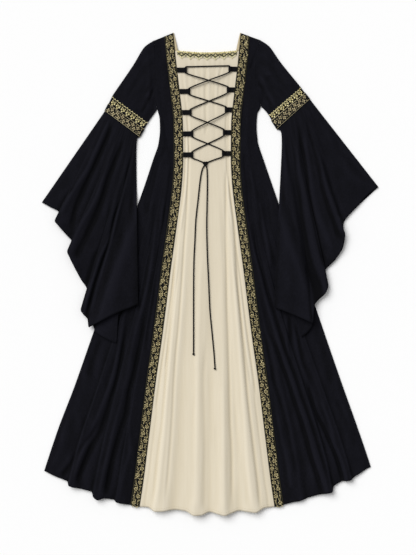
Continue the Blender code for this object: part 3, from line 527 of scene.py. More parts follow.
# Centre front.
# One piece of soft cream crepe between the long trims. It is gathered into the neck edge, lies
# nearly flat under the lacing, and opens into soft folds towards the hem.
CREAM_WALL = 1.0
CENTRE_FOLDS = (
    # place across at the waist and at the hem, rise at the hem, drop of the hem
    (0.00, 0.00, 2, 0), (0.07, 0.06, 4, 1), (0.13, 0.115, 11, 14), (0.18, 0.17, 12, 13),
    (0.26, 0.26, 5, 8), (0.36, 0.34, 9, 12), (0.43, 0.405, 14, 26), (0.47, 0.455, 12, 25),
    (0.55, 0.52, 6, 15), (0.66, 0.58, 12, 21), (0.71, 0.63, 15, 26), (0.75, 0.68, 9, 19),
    (0.78, 0.74, 5, 11), (0.81, 0.80, 10, 14), (0.86, 0.86, 12, 17), (0.93, 0.93, 5, 3),
    (1.00, 1.00, 2, 0),
)
CENTRE_CREASES = (
    (4.5, -2.5, (-80, 650), (-76, 610), (-69, 560), (-62, 510), (-59, 460), (-55, 400), (-56, 340),
     (-59, 251), (-63, 166), (-68, 105), (-74, 7), (-80, -78), (-87, -170), (-93, -230), (-99, -310),
     (-103, -383), (-108, -474), (-114, -554), (-120, -627), (-130, -720)),
    (4.5, -2.3, (-92, 120), (-96, 80), (-102, -17), (-108, -109), (-117, -200), (-123, -291),
     (-129, -365), (-138, -462), (-148, -535), (-157, -621), (-167, -720)),
    (8, -1.87, (-4, -180), (-7, -261), (-10, -322), (-9, -444), (-7, -535), (-9, -627), (-10, -735)),
    (8, -1.15, (27, -440), (29, -505), (29, -596), (26, -735)),
    (5.5, -3.0, (78, 655), (75, 640), (69, 600), (62, 530), (59, 450), (58, 400), (61, 340), (58, 260),
     (58, 166), (60, 44), (61, -78), (65, -200), (68, -322), (71, -444), (75, -535), (76, -627),
     (76, -735)),
    (5, -3.31, (80, 170), (84, 117), (90, 32), (99, -78), (107, -170), (115, -261), (121, -334),
     (127, -401), (136, -474), (145, -554), (154, -627), (164, -735)),
    (9, -1.01, (82, -380), (90, -450), (100, -540), (112, -620), (122, -720)),
    (9, -0.86, (-38, -360), (-41, -413), (-42, -566), (-44, -700)),
    (7, 2.16, (-64, 345), (-65, 330), (-74, 227), (-87, 105), (-92, 7), (-99, -90), (-105, -170),
     (-114, -291), (-120, -352), (-129, -474), (-141, -596), (-156, -730)),
    (12, 1.44, (-30, -200), (-29, -322), (-29, -474), (-29, -627), (-30, -735)),
    (11, 1.73, (46, -300), (50, -413), (52, -535), (51, -735)),
    (8, 2.3, (68, 200), (76, 80), (81, 13), (93, -139), (102, -261), (109, -352), (118, -474),
     (127, -596), (144, -735)),
    (8, 1.01, (-18, 60), (-24, -60), (-28, -200), (-30, -300)),
    (4, -0.94, (-2, 655), (-3, 627), (-4.6, 559), (-4, 517), (-3, 474), (-3, 420)),
    (5, -0.65, (25, 655), (22, 635), (17, 600), (15, 572), (20, 530), (24, 460), (25, 400), (31, 340)),
    (4, -0.58, (46, 650), (43, 623), (36, 590), (34, 540)), (4, -0.5, (-22, 400), (-20, 380), (-21, 350)),
    (4, -0.65, (-40, 655), (-38, 620), (-34, 560), (-32, 500)), (5, 0.65, (-14, 640), (-12, 540), (-12, 420)),
    (5, 0.72, (8, 640), (6, 540), (8, 440)), (5, 0.65, (-70, 640), (-66, 580), (-60, 520)),
    (5, 0.65, (34, 640), (30, 560), (34, 470)),
)
EDGE_CREASES = {
    # half width, height, distance in from the trim, and the heights it runs between
    "left": ((3.2, -2.4, 7, 480, 60), (3.6, -2.2, 12, 180, -430), (3.4, -1.4, 24, 40, -300),
             (4, -1.2, 15, -380, -735), (3.5, 1.4, 14, 440, 120)),
    "right": ((3.2, -2.6, 8, 520, 90), (3.6, -2.4, 12, 200, -380), (3.4, -1.5, 25, 60, -340),
              (4, -1.3, 17, -330, -735), (3.5, 1.4, 15, 430, 140)),
}
NECK_SAG = 6.0
GATHERS = 11
GATHER_RISE = 0.22
GATHER_END_Y = 300.0
GATHER_RUN = 300.0
CENTRE_CROWN = 1.2
CREAM_LOFT = 2.0
# The darker cream: painted shade in the fold troughs, and the faint streaks.
CREAM_CLOTH = "DED4BF"
CREAM_SHADE_AND_STREAK = "CBBEA2"


def cream_crepe():
    """Undyed cotton crepe: matt, warm, with fine uneven threads down its length, drawn 2 mm apart.
    It is painted a little darker in its troughs, by the attribute crest: painted shade."""
    finish, tree, shader = start_finish("cream_cotton_crepe", CREAM_CLOTH, 0.88)
    shader.inputs["Specular IOR Level"].default_value = 0.25
    shader.inputs["Sheen Weight"].default_value = 0.05
    shader.inputs["Sheen Roughness"].default_value = 0.5
    spot = add_node(tree, "ShaderNodeUVMap", uv_map="UVMap").outputs["UV"]
    along = add_node(tree, "ShaderNodeMapping", {"Vector": spot, "Scale": (1.0, 0.06, 1.0)}).outputs[0]
    streaks = add_node(tree, "ShaderNodeTexNoise", {"Vector": along, "Scale": 160.0, "Detail": 4.0,
                                                    "Roughness": 0.55}).outputs[0]
    slubs = add_node(tree, "ShaderNodeTexNoise", {"Vector": along, "Scale": 700.0,
                                                  "Detail": 2.0}).outputs[0]
    faint = add_node(tree, "ShaderNodeMapRange", {"Value": streaks, "From Min": 0.3, "From Max": 0.7,
                                                  "To Min": 0.3, "To Max": 0.5}).outputs[0]
    # Painted shade: the crest darkens the cream in the troughs; the streaks are the cloth's own uneven tone.
    crest = add_node(tree, "ShaderNodeAttribute", attribute_name="crest").outputs["Fac"]
    level = add_node(tree, "ShaderNodeMath", {0: crest, 1: 0.75, 2: faint}, operation="MULTIPLY_ADD",
                     use_clamp=True).outputs[0]
    colour = add_node(tree, "ShaderNodeMix", {0: level, 6: linear(CREAM_SHADE_AND_STREAK), 7: linear(CREAM_CLOTH)},
                      data_type="RGBA").outputs[2]
    tree.links.new(colour, shader.inputs["Base Color"])
    height = add_node(tree, "ShaderNodeMath", {0: slubs, 1: streaks}, operation="ADD").outputs[0]
    bump = add_node(tree, "ShaderNodeBump", {"Height": height, "Strength": 0.4, "Distance": 0.0002})
    tree.links.new(bump.outputs[0], shader.inputs["Normal"])
    return finish


cream_cloth = cream_crepe()


def centre_grid(rows=230, per_fold=11):
    steps = np.linspace(NECK_ROW, len(FRONT_ROWS["left"]) - 1, rows)
    left = seam_rows("left", steps)[0]
    right = seam_rows("right", steps)[0]
    y = left[:, 1:2]
    open_now = growth(y)
    keys = np.linspace(0, len(CENTRE_FOLDS) - 1, (len(CENTRE_FOLDS) - 1) * per_fold + 1)
    waist, hem, rise, drop = (line(keys)[None, :] for line in table_lines(CENTRE_FOLDS))
    s = mix(waist, hem, smooth(open_now))
    arch = np.sin(math.pi * np.clip(s, 0, 1))
    gather = smooth((y - GATHER_END_Y) / GATHER_RUN) ** 3 * GATHER_RISE * np.sqrt(np.clip(arch, 0, 1))
    gather = gather * (1 - np.cos(2 * math.pi * GATHERS * s + 0.9 * np.sin(9 * s)))
    inner_left = left[:, 0:1] + TRIM_HALF + TRIM_LEDGE
    inner_right = right[:, 0:1] - TRIM_HALF - TRIM_LEDGE
    spots = np.zeros(s.shape + (3,))
    spots[..., 0] = mix(inner_left, inner_right, s)
    spots[..., 1] = y - drop * open_now ** 3
    loft = CREAM_LOFT * smooth(arch * 3) * smooth((WAIST_Y + 60 - y) / 160)
    spots[..., 2] = left[:, 2:3] + (rise - SEAM_RISE) * open_now + CENTRE_CROWN * arch + gather + loft
    start = np.stack([left[:, 0] + HALF_GAP, left[:, 1], left[:, 2]], 1)[:, None]
    end = np.stack([right[:, 0] - HALF_GAP, left[:, 1], right[:, 2]], 1)[:, None]
    grid = np.concatenate([start, spots, end], 1)
    flat = grid[..., 2].copy()
    creases = list(CENTRE_CREASES)
    for side, table in EDGE_CREASES.items():
        for width, height, away, top, low in table:
            spots = [(SIGN[side] * (float(seam_x(h)) - TRIM_HALF - away), h) for h in np.linspace(top, low, 9)]
            creases.append((width, height, *spots))
    grid[..., 2] += fold_heights(grid[..., :2], creases)
    add_ripples(grid, 21, RIPPLE * 0.3, across=60.0, along=420.0)
    calm = smooth(s * 34) * smooth((1 - s) * 34)
    calm = np.concatenate([np.zeros((rows, 1)), calm, np.zeros((rows, 1))], 1)
    grid[..., 2] = np.maximum(mix(flat, grid[..., 2], calm), SEAM_Z)
    sag = NECK_SAG * np.concatenate([np.zeros((rows, 1)), arch, np.zeros((rows, 1))], 1)
    grid[..., 1] -= sag * smooth((y - 640) / 35)
    return grid


def tree_of(piece):
    """A search tree on a finished piece, to set other pieces on its surface."""
    graph = bpy.context.evaluated_depsgraph_get()
    graph.update()
    return BVHTree.FromObject(piece, graph)


def top_of(tree, x, y, reach=0.0):
    """The highest point of a surface within reach of a plan point, in millimetres."""
    best = 0.0
    for i in range(9 if reach else 1):
        r = reach if i else 0.0
        angle = i * math.pi / 4
        start = Vector((x + r * math.cos(angle), y + r * math.sin(angle), 200)) * MM
        hit = tree.ray_cast(start, Vector((0, 0, -1)))[0]
        if hit:
            best = max(best, hit.z / MM)
    return best


def make_centre():
    grid = centre_grid()
    piece = add_cloth("centre_front", grid, cream_cloth, CREAM_WALL)
    stand_for(piece, "cream_cloth", "centre_panel")
    hem = grid[-1]
    return piece, lambda x: float(np.interp(x, hem[:, 0], hem[:, 1]))


centre_front, centre_edge = make_centre()
centre_tree = tree_of(centre_front)


# Long trims and neck facings.
# A woven ribbon, gold blossoms on black with a thin gold line near each edge, is sewn over each
# seam of the centre front. A narrow cream facing shows inside it above the neck lace.
TRIM_WALL = 0.9
TRIM_LIFT = BLACK_WALL / 2 + GAP + TRIM_WALL / 2
FACING_SHOW = smooth_line([0, 1], [2.0, 9.0])


def ribbon_ground(name, gold_lines, line_colour):
    """Black ribbon, ribbed across, with thin woven gold lines near its edges. U runs across it in
    metres from its middle."""
    finish, tree, shader = start_finish(name, "0B0C0C", 0.8)
    shader.inputs["Specular IOR Level"].default_value = 0.12
    spot = add_node(tree, "ShaderNodeUVMap", uv_map="UVMap").outputs["UV"]
    parts = add_node(tree, "ShaderNodeSeparateXYZ", {0: spot})
    away = add_node(tree, "ShaderNodeMath", {0: parts.outputs[0]}, operation="ABSOLUTE").outputs[0]
    band = 0.0
    for place in gold_lines:
        off = add_node(tree, "ShaderNodeMath", {0: away, 1: place * MM}, operation="SUBTRACT").outputs[0]
        near = add_node(tree, "ShaderNodeMath", {0: off}, operation="ABSOLUTE").outputs[0]
        line = add_node(tree, "ShaderNodeMapRange", {"Value": near, "From Min": 0.0003, "From Max": 0.0006,
                                                     "To Min": 1.0, "To Max": 0.0}).outputs[0]
        band = add_node(tree, "ShaderNodeMath", {0: band, 1: line}, operation="MAXIMUM").outputs[0]
    ribs = add_node(tree, "ShaderNodeTexWave", {"Vector": spot, "Scale": 2 * math.pi / 0.024},
                    bands_direction="Y").outputs[1]
    ground = add_node(tree, "ShaderNodeMix", {0: ribs, 6: linear("060708"), 7: linear("0F1012")},
                      data_type="RGBA").outputs[2]
    colour = add_node(tree, "ShaderNodeMix", {0: band, 6: ground, 7: linear(line_colour)},
                      data_type="RGBA").outputs[2]
    tree.links.new(colour, shader.inputs["Base Color"])
    height = add_node(tree, "ShaderNodeMath", {0: ribs, 1: band}, operation="ADD").outputs[0]
    bump = add_node(tree, "ShaderNodeBump", {"Height": height, "Strength": 0.4, "Distance": 0.00015})
    tree.links.new(bump.outputs[0], shader.inputs["Normal"])
    return finish


trim_black = ribbon_ground("black_trim_ribbon", (13.3,), "45412B")


def trim_points(side, steps, offsets, lift=0.0):
    """Points on a long trim, offset across it: below 0 towards the centre front."""
    seam, edge, across = seam_rows(side, steps)
    level = np.array([-SIGN[side], 0.0, 0.0])
    share = np.clip(1 - np.atleast_1d(steps) / NECK_ROW, 0, 1)[:, None]
    inward = mix(level[None, :], -across, share)
    inward /= np.linalg.norm(inward, axis=1)[:, None]
    offsets = np.asarray(offsets, float)
    way = np.where(offsets[None, :, None] < 0, -inward[:, None, :], across[:, None, :])
    spots = seam[:, None, :] + way * offsets[None, :, None]
    spots[..., 2] += TRIM_LIFT + lift
    return spots


def strip_uvs(rows, count, widths, lengths):
    """UVs of a strip's faces: U across from the middle, V along."""
    place = np.stack(np.meshgrid(widths, lengths), -1) * MM
    r, c = np.meshgrid(np.arange(rows - 1), np.arange(count - 1), indexing="ij")
    return np.stack([place[r, c], place[r, c + 1], place[r + 1, c + 1], place[r + 1, c]], 2)


def add_strip(name, grid, widths, finish, wall, flip=False):
    """A ribbon on a grid of points, its UVs following it."""
    rows, count = grid.shape[:2]
    lengths = np.concatenate([[0.0], np.cumsum(np.linalg.norm(np.diff(grid, axis=0), axis=2).mean(1))])
    faces = grid_faces(rows, count, False)
    uvs = strip_uvs(rows, count, widths, lengths).reshape(-1, 4, 2)
    if not flip:
        faces, uvs = faces[:, ::-1], uvs[:, ::-1]
    piece = add_piece(name, grid.reshape(-1, 3), faces, finish, uvs.reshape(-1, 2))
    give_wall(piece, wall)
    return piece


def make_trims():
    across = np.array([-14.5, -13.6, -11, -7, -3, 0, 3, 7, 11, 13.6, 14.5])
    crown = np.array([-0.15, 0, 0.1, 0.15, 0.2, 0.2, 0.2, 0.15, 0.1, 0, -0.15])
    pieces = {}
    for side in SIGN:
        steps = np.linspace(0, len(FRONT_ROWS[side]) - 1, 230)
        grid = trim_points(side, steps, across)
        grid[..., 2] += crown
        piece = add_strip(f"long_trim_{side}", grid, across, trim_black, TRIM_WALL, flip=side == "right")
        stand_for(piece, "flower_trim", f"trim_{side}")
        pieces[side] = piece
    return pieces


def facing_cotton():
    """Tan cotton of the neck facings, plain woven, drawn 1 mm apart."""
    finish, tree, shader = start_finish("tan_facing_cotton", "C0B08E", 0.85)
    spot = add_node(tree, "ShaderNodeTexCoord").outputs["Object"]
    tone = add_node(tree, "ShaderNodeTexNoise", {"Vector": spot, "Scale": 90.0, "Detail": 3.0}).outputs[0]
    colour = add_node(tree, "ShaderNodeMix", {0: tone, 6: linear("AC9C79"), 7: linear("D0C2A2")},
                      data_type="RGBA").outputs[2]
    tree.links.new(colour, shader.inputs["Base Color"])
    weave = add_node(tree, "ShaderNodeTexWave", {"Vector": spot, "Scale": 2 * math.pi / 0.02},
                     bands_direction="DIAGONAL").outputs[1]
    bump = add_node(tree, "ShaderNodeBump", {"Height": weave, "Strength": 0.3, "Distance": 0.0002})
    tree.links.new(bump.outputs[0], shader.inputs["Normal"])
    return finish


def make_facings():
    tan = facing_cotton()
    for side in SIGN:
        steps = np.linspace(0, NECK_ROW, 16)
        near = trim_points(side, steps, [-HALF_GAP], -TRIM_LIFT)[:, 0]
        far = np.array([trim_points(side, [t], [-(TRIM_HALF + FACING_SHOW(t))], -TRIM_LIFT)[0, 0]
                        for t in steps])
        grid = np.stack([mix(near, far, s) for s in np.linspace(0, 1, 9)], 1)
        grid[..., 1] += np.linspace(0, GAP, 16)[:, None]
        piece = add_cloth(f"facing_{side}", grid, tan, CREAM_WALL, flip=side == "left")
        stand_for(piece, "cream_cloth", f"neck_facing_{side}")


long_trims = make_trims()
make_facings()


# Upper sleeves.
# Tubes of the black cloth set into the armholes, lying flat, a little rounded towards the cuff.
FOLD_INSET = 2.2
TUBE_GAP = 3.0
ARM_UNDER_Z = TRIM_WALL + GAP + BLACK_WALL / 2
ARM_TOP_Z = ARM_UNDER_Z + TUBE_GAP
ARM_BULGE = 5.0
ARMPIT_CLEAR = 0.9
SLEEVE_EDGES = {
    "left": (
        # fold along the top of the arm and fold under it
        (-161, 711.5, -151, 503), (-188, 693, -159, 491), (-224, 636, -168, 479), (-286, 545, -178, 465),
    ),
    "right": (
        (159, 714, 163, 512), (186, 696, 171, 504), (223, 645, 179, 496), (283, 571, 186, 487),
    ),
}
ARM_LINES = {
    "left": {
        # outer and inner end of each line across the arm
        "lace_top": ((-288, 541), (-180, 461)), "ribbon_top": ((-299, 519), (-192, 443)),
        "cuff": ((-305, 507.5), (-199, 430.5)), "ribbon_end": ((-311, 496), (-206, 418)),
    },
    "right": {
        "lace_top": ((285, 568), (188, 484)), "ribbon_top": ((297, 552), (196.5, 470)),
        "cuff": ((305, 542), (205.5, 456)), "ribbon_end": ((313, 532), (214, 442)),
    },
}
SLEEVE_CREASES = {
    "left": (
        (6, -3.4, (-160, 575), (-163, 563), (-175, 537), (-188, 507), (-200, 488)),
        (5, -2.4, (-158, 545), (-160, 532), (-161, 507), (-163, 495)),
        (6, -2.2, (-164, 505), (-168, 481), (-178, 466), (-190, 462)),
        (8, 3.0, (-186, 700), (-183, 680), (-178, 644), (-175, 578), (-180, 530)),
        (7, 2.2, (-172, 560), (-180, 522), (-196, 480)), (12, 1.8, (-205, 640), (-230, 590), (-262, 540)),
        (12, -1.4, (-200, 660), (-215, 600), (-238, 540)),
    ),
    "right": (
        (6, -3.6, (156, 600), (158, 583), (170, 560), (171, 540), (168, 520), (170, 506)),
        (6, -2.2, (180, 545), (191, 522), (198, 497), (204, 488)),
        (9, 3.0, (162, 610), (175, 578), (191, 543), (208, 506)),
        (10, 2.0, (178, 690), (182, 650), (190, 600)), (12, 1.8, (205, 650), (235, 610), (265, 575)),
        (12, -1.4, (198, 665), (215, 610), (240, 555)),
    ),
}


def arm_top(u):
    """Height of the arm's upper layer near the cuff."""
    return ARM_TOP_Z + ARM_BULGE * np.sin(math.pi * np.clip(u, 0.0, 1.0))


def flat_ring(plan, heights_top, heights_under, count, inset=FOLD_INSET, grow=0.0):
    """A closed ring of a flattened tube with round folds. plan(u) gives points from fold to fold."""
    span = np.linalg.norm(plan(np.array([1.0]))[0] - plan(np.array([0.0]))[0])
    first, last = plan(np.array([0.0, 1.0]))
    along = (last - first) / span
    eps = (inset + grow) / (span + 2 * grow)
    us = np.linspace(eps, 1 - eps, count)
    turn = np.linspace(0, math.pi, 7)[1:-1]

    def spots(u, z):
        place = plan(u) + ((2 * u - 1) * grow)[:, None] * along
        return np.concatenate([place, z[:, None]], 1)

    def fold(u_edge, u_inner, way):
        top, low = heights_top(u_inner), heights_under(u_inner)
        u = u_inner + (u_edge - u_inner) * np.sin(turn)
        z = (top + low) / 2 + way * (top - low) / 2 * np.cos(turn)
        return spots(u, z)

    upper = spots(us, heights_top(us))
    lower = spots(us[::-1], heights_under(us[::-1]))
    return np.concatenate([upper, fold(1.0, 1 - eps, 1), lower, fold(0.0, eps, -1)])


def arm_line(side, name, shift=0.0):
    """A straight line across the arm, moved along the arm by shift, towards the hand."""
    outer, inner = (np.array(p, float) for p in ARM_LINES[side][name])
    across = (inner - outer) / np.linalg.norm(inner - outer)
    down = np.array([across[1], -across[0]])
    down = down if down[1] < 0 else -down
    outer = outer + down * shift
    inner = inner + down * shift
    return lambda u: outer + (inner - outer) * np.asarray(u, float)[:, None]


def sleeve_grid(side, rings=56, count=64):
    lines = table_lines(SLEEVE_EDGES[side])
    last = len(SLEEVE_EDGES[side]) - 1
    chord = seam_rows(side, [0, ARMPIT_ROW], HALF_GAP)[1][:, :2]
    grid = []
    for w in np.linspace(0, 1, rings):
        top_x, top_y, under_x, under_y = (float(line(w * last)) for line in lines)
        ends = np.array([[top_x, top_y], [under_x, under_y]])

        def plan(u, ends=ends, w=w):
            seam = seam_rows(side, np.asarray(u) * ARMPIT_ROW, HALF_GAP)[1][:, :2]
            bow = seam - (chord[0] + (chord[1] - chord[0]) * np.asarray(u)[:, None])
            clear = HALF_GAP + ARMPIT_CLEAR * (smooth(5 * u - 4) + 0.5 * smooth(1 - 5 * u))
            place = ends[0] + (ends[1] - ends[0]) * np.asarray(u)[:, None] + bow * (1 - w)
            place[:, 0] += SIGN[side] * clear
            return place

        under_z = mix(BACK_Z, ARM_UNDER_Z, smooth((w - 0.4) / 0.6))

        def top(u, w=w):
            return mix(BACK_Z + TUBE_GAP, arm_top(u), smooth(w)) + 0 * np.asarray(u)

        grid.append(flat_ring(plan, top, lambda u, z=under_z: z + 0 * np.asarray(u), count))
    grid.append(flat_ring(arm_line(side, "cuff", -HALF_GAP), arm_top,
                          lambda u: ARM_UNDER_Z + 0 * np.asarray(u), count))
    grid = np.array(grid)
    upper = np.zeros(grid.shape[1])
    upper[:count] = np.sin(np.linspace(0, math.pi, count)) ** 0.5
    fade = upper[None, :] * np.sin(np.linspace(0, math.pi, rings + 1) ** 1.0)[:, None] ** 0.5
    before = grid[..., 2].copy()
    grid[..., 2] += fold_heights(grid[..., :2], SLEEVE_CREASES[side])
    add_ripples(grid, 31 if side == "left" else 32, RIPPLE, across=60.0, along=90.0)
    grid[..., 2] = before + (grid[..., 2] - before) * fade
    return grid


def make_sleeves():
    for side in SIGN:
        piece = add_cloth(f"upper_sleeve_{side}", sleeve_grid(side), black_cloth, BLACK_WALL,
                          flip=side == "left", closed=True)
        stand_for(piece, "black_cloth", f"sleeve_{side}")


make_sleeves()


# Bells.
# Wide cones of the black cloth, gathered to the upper sleeves under the arm ribbons. They are
# folded by their own weight, with long pointed hems, and their inner parts lie on the skirt.
BELL_OVER_SKIRT = 13.5
BELL_TOP = {
    "left": (
        # place across the cuff, hem x and y, rise at the hem, sideways sway of the fold
        (0.00, -503, 218, 0, 0), (0.02, -478, 204, 1.5, 0), (0.05, -452, 188, 2, 0),
        (0.08, -463, 162, 9, 0), (0.14, -453, 148, 11, 0), (0.30, -431, 122, 5, 3),
        (0.44, -412, 97, 2, 6), (0.50, -425, 69, 9, 8), (0.54, -416, 46, 12, 8),
        (0.66, -386, -13, 5, 8), (0.76, -366, -50, 2, 8), (0.80, -384, -108, 9, 7),
        (0.83, -377, -122, 11, 7), (0.88, -364, -137, 5, 7), (0.91, -359, -162, 11, 7),
        (0.93, -341, -152, 14, 5), (0.97, -280, -121, 8, -1), (1.00, -210, -92, 0, -8.5),
    ),
    "right": (
        (0.00, 522, 265, 0, 0), (0.04, 490, 242, 1.5, 0), (0.08, 457, 206, 2, 0),
        (0.12, 431, 178, 2, 0), (0.15, 416, 157, 2, 0), (0.19, 414, 137, 8, 0),
        (0.23, 420, 119, 12, 0), (0.27, 415, 85, 9, -3), (0.32, 393, 46, 4, -8),
        (0.37, 357, 3, 2, -14), (0.42, 369, -34, 10, -17), (0.46, 363, -55, 13, -17),
        (0.62, 326, -98, 3, -6), (0.84, 321, -148, 9, 8), (0.88, 305, -142, 13, 9),
        (0.94, 257, -121, 7, 13), (1.00, 204, -101, 0, 14),
    ),
}
BELL_UNDER = {
    "left": (
        # place across the cuff, hem x and y, sway
        (1.00, -210, -92, -8.5), (0.90, -262, -110, -2), (0.85, -271, -140, 0), (0.80, -277, -210, 4),
        (0.68, -342, -171, 6), (0.60, -351, -132, 6), (0.48, -352, -49, 6), (0.28, -398, 92, 4),
        (0.12, -441, 181, 0), (0.00, -503, 218, 0),
    ),
    "right": (
        (1.00, 204, -101, 14), (0.93, 250, -119, 11), (0.86, 274, -132, 8), (0.80, 287, -191, 6),
        (0.70, 321, -151, 2), (0.60, 318, -98, -4), (0.45, 335, -30, -8), (0.32, 352, 15, -8),
        (0.18, 402, 128, 0), (0.12, 422, 166, 0), (0.07, 455, 202, 0), (0.00, 522, 265, 0),
    ),
}
BELL_CREASES = {
    "left": (
        (8, 4.0, (-290, 490), (-298, 466), (-321, 410), (-341, 364), (-364, 313), (-395, 268),
         (-428, 217), (-450, 176)),
        (9, 5.0, (-262, 435), (-273, 410), (-293, 364), (-313, 303), (-331, 242), (-354, 196),
         (-385, 146), (-407, 95), (-418, 52)),
        (8, 2.8, (-236, 380), (-240, 364), (-252, 313), (-273, 247), (-293, 181), (-311, 135),
         (-329, 90), (-346, 55)),
        (7, 3.8, (-240, 320), (-252, 268), (-268, 207), (-285, 135), (-305, 88), (-326, 44),
         (-341, -7), (-357, -58), (-376, -106)),
        (6, 3.4, (-226, 360), (-242, 308), (-263, 217), (-278, 151), (-296, 85), (-313, 29),
         (-329, -22), (-341, -68), (-356, -128)),
        (12, 2.6, (-236, 240), (-240, 110), (-232, 24), (-222, -85)),
        (8, -4.5, (-282, 490), (-288, 476), (-298, 430), (-313, 395), (-336, 344), (-354, 303),
         (-377, 252), (-395, 212), (-407, 171), (-415, 130)),
        (7, -2.6, (-400, 270), (-430, 232), (-453, 190)),
        (8, -5.0, (-247, 425), (-252, 415), (-268, 374), (-285, 329), (-301, 288), (-313, 247),
         (-339, 176), (-359, 130), (-380, 90), (-400, 40)),
        (8, -3.0, (-285, 240), (-293, 207), (-305, 146), (-335, 70), (-359, -7), (-366, -40)),
        (4.5, -6.0, (-220, 392), (-224, 379), (-240, 319), (-252, 268), (-263, 227), (-280, 176),
         (-298, 95), (-313, 54), (-329, 8), (-344, -37), (-354, -78), (-368, -132)),
        (10, -1.6, (-352, 400), (-372, 360), (-400, 320)),
    ),
    "right": (
        (9, 4.0, (300, 510), (305, 492), (323, 436), (343, 369), (354, 308), (366, 258), (384, 207),
         (399, 171), (409, 131), (420, 105)),
        (9, 4.6, (272, 455), (275, 436), (277, 369), (282, 308), (295, 247), (305, 176), (315, 125),
         (326, 75), (338, 39), (354, 9), (366, -34)),
        (8, 3.0, (290, 465), (295, 446), (310, 319), (323, 237), (338, 176), (364, 115), (382, 66)),
        (10, 2.8, (232, 400), (224, 330), (215, 240), (214, 141), (211, 54), (213, -90)),
        (8, -3.8, (296, 505), (298, 497), (313, 431), (328, 375), (341, 319), (354, 258), (369, 207),
         (387, 156), (406, 100)),
        (7, -4.0, (275, 470), (277, 461), (282, 415), (295, 359), (305, 308), (310, 258), (318, 207),
         (328, 156), (338, 100), (354, 39), (360, 10)),
        (11, -5.5, (240, 455), (242, 446), (244, 395), (252, 334), (267, 258), (280, 181), (293, 115),
         (303, 54), (318, 4), (333, -32), (345, -66)),
        (8, -3.2, (350, 360), (361, 319), (379, 252), (394, 207), (404, 165)),
        (14, -1.8, (385, 410), (415, 364), (455, 319), (480, 290)),
        (5, -4.0, (298, 40), (305, -5), (310, -37), (318, -139), (320, -150)),
    ),
}
BELL_LOFT = 3.5
RIBBON_CLEAR = 2.0
FOLD_SHARE = 0.018
CUFF_GATHERS = 17
side_edge = {
    side: smooth_line([-row[2] for row in rows[ARMPIT_ROW:]], [row[1] for row in rows[ARMPIT_ROW:]])
    for side, rows in FRONT_ROWS.items()
}


def skirt_lift(side, x, y):
    """How far a bell is raised where it lies over the skirt's side."""
    inside = (side_edge[side](-y) - x) * SIGN[side]
    return BELL_OVER_SKIRT * smooth((inside * 0.94 + 25) / 40)


def fold_edges(top, under):
    """Join an upper and an under layer in two round folds."""
    def round_fold(edge_a, edge_b, neighbour):
        flat = (neighbour - edge_a)[:2]
        step = min(FOLD_INSET, np.linalg.norm(flat) * 3.0)
        inward = flat / max(np.linalg.norm(flat), 1e-6) * step
        middle = (edge_a[2] + edge_b[2]) / 2
        half = (edge_a[2] - edge_b[2]) / 2
        turn = np.linspace(0, math.pi, 7)
        spots = [(*(edge_a[:2] + inward * (1 - math.sin(t))), middle + half * math.cos(t)) for t in turn]
        return np.array(spots)

    inner = round_fold(top[-1], under[0], top[-4])
    outer = round_fold(under[-1], top[0], under[-4])
    return np.concatenate([top[3:-3], inner, under[3:-3], outer])


def bell_grid(side, per_fold=11):
    top_table, under_table = BELL_TOP[side], BELL_UNDER[side]
    top_keys = np.linspace(0, len(top_table) - 1, (len(top_table) - 1) * per_fold + 1)
    under_keys = np.linspace(0, len(under_table) - 1, (len(under_table) - 1) * per_fold + 1)
    top_columns = [line(top_keys) for line in table_lines(top_table)]
    under_columns = [line(under_keys) for line in table_lines(under_table)]
    cuff = arm_line(side, "cuff", HALF_GAP)
    ribbon_end = arm_line(side, "ribbon_end", RIBBON_CLEAR)
    rows = [(cuff, 0.0)] + [(ribbon_end, v) for v in np.linspace(0, 1, 96) ** 1.2]
    grid = []
    for line, v in rows:
        sway_now = math.sin(math.pi * v ** 0.3)
        leave = smooth(v * 4)

        def place(u, hem_x, hem_y, sway):
            start = line(np.where((u > 0) & (u < 1), mix(FOLD_SHARE, 1 - FOLD_SHARE, u), u))
            return mix(start[:, 0], hem_x, v) + sway * sway_now, mix(start[:, 1], hem_y, v)

        u, hem_x, hem_y, rise, sway = top_columns
        x, y = place(u, hem_x, hem_y, sway)
        z = mix(arm_top(u), BACK_Z + TUBE_GAP + rise * v, leave) + skirt_lift(side, x, y)
        inner = smooth(np.minimum(u, 1 - u) * 18) * smooth(v * 9)
        floor_z = mix(ARM_UNDER_Z, BACK_Z, leave) + skirt_lift(side, x, y) + BLACK_WALL + 2 * GAP
        loft = BELL_LOFT * (1 - 0.6 * smooth((v - 0.7) / 0.3))
        z = z + inner * (loft + fold_heights(np.stack([x, y], 1), BELL_CREASES[side]))
        z = np.maximum(z, floor_z)
        gather = 0.55 * inner * smooth(1 - v * 6) * smooth(v * 60)
        z = z + gather * (1 + np.sin(2 * math.pi * CUFF_GATHERS * u + 1.3 * np.sin(11 * u)))
        top = np.stack([x, y, z], 1)
        u, hem_x, hem_y, sway = under_columns
        x, y = place(u, hem_x, hem_y, sway)
        z = mix(ARM_UNDER_Z, BACK_Z, leave) + skirt_lift(side, x, y)
        grid.append(fold_edges(top, np.stack([x, y, z], 1)))
    return np.array(grid)


def make_bells():
    for side in SIGN:
        piece = add_cloth(f"bell_sleeve_{side}", bell_grid(side), black_cloth, BLACK_WALL,
                          flip=side == "left", closed=True)
        stand_for(piece, "black_cloth", f"bell_{side}")


make_bells()


# Arm ribbons.
# The same woven ribbon as the long trims goes all round each arm, over the seam of the bell.
RIBBON_EASE = 0.25
RIBBON_INSET = 0.8


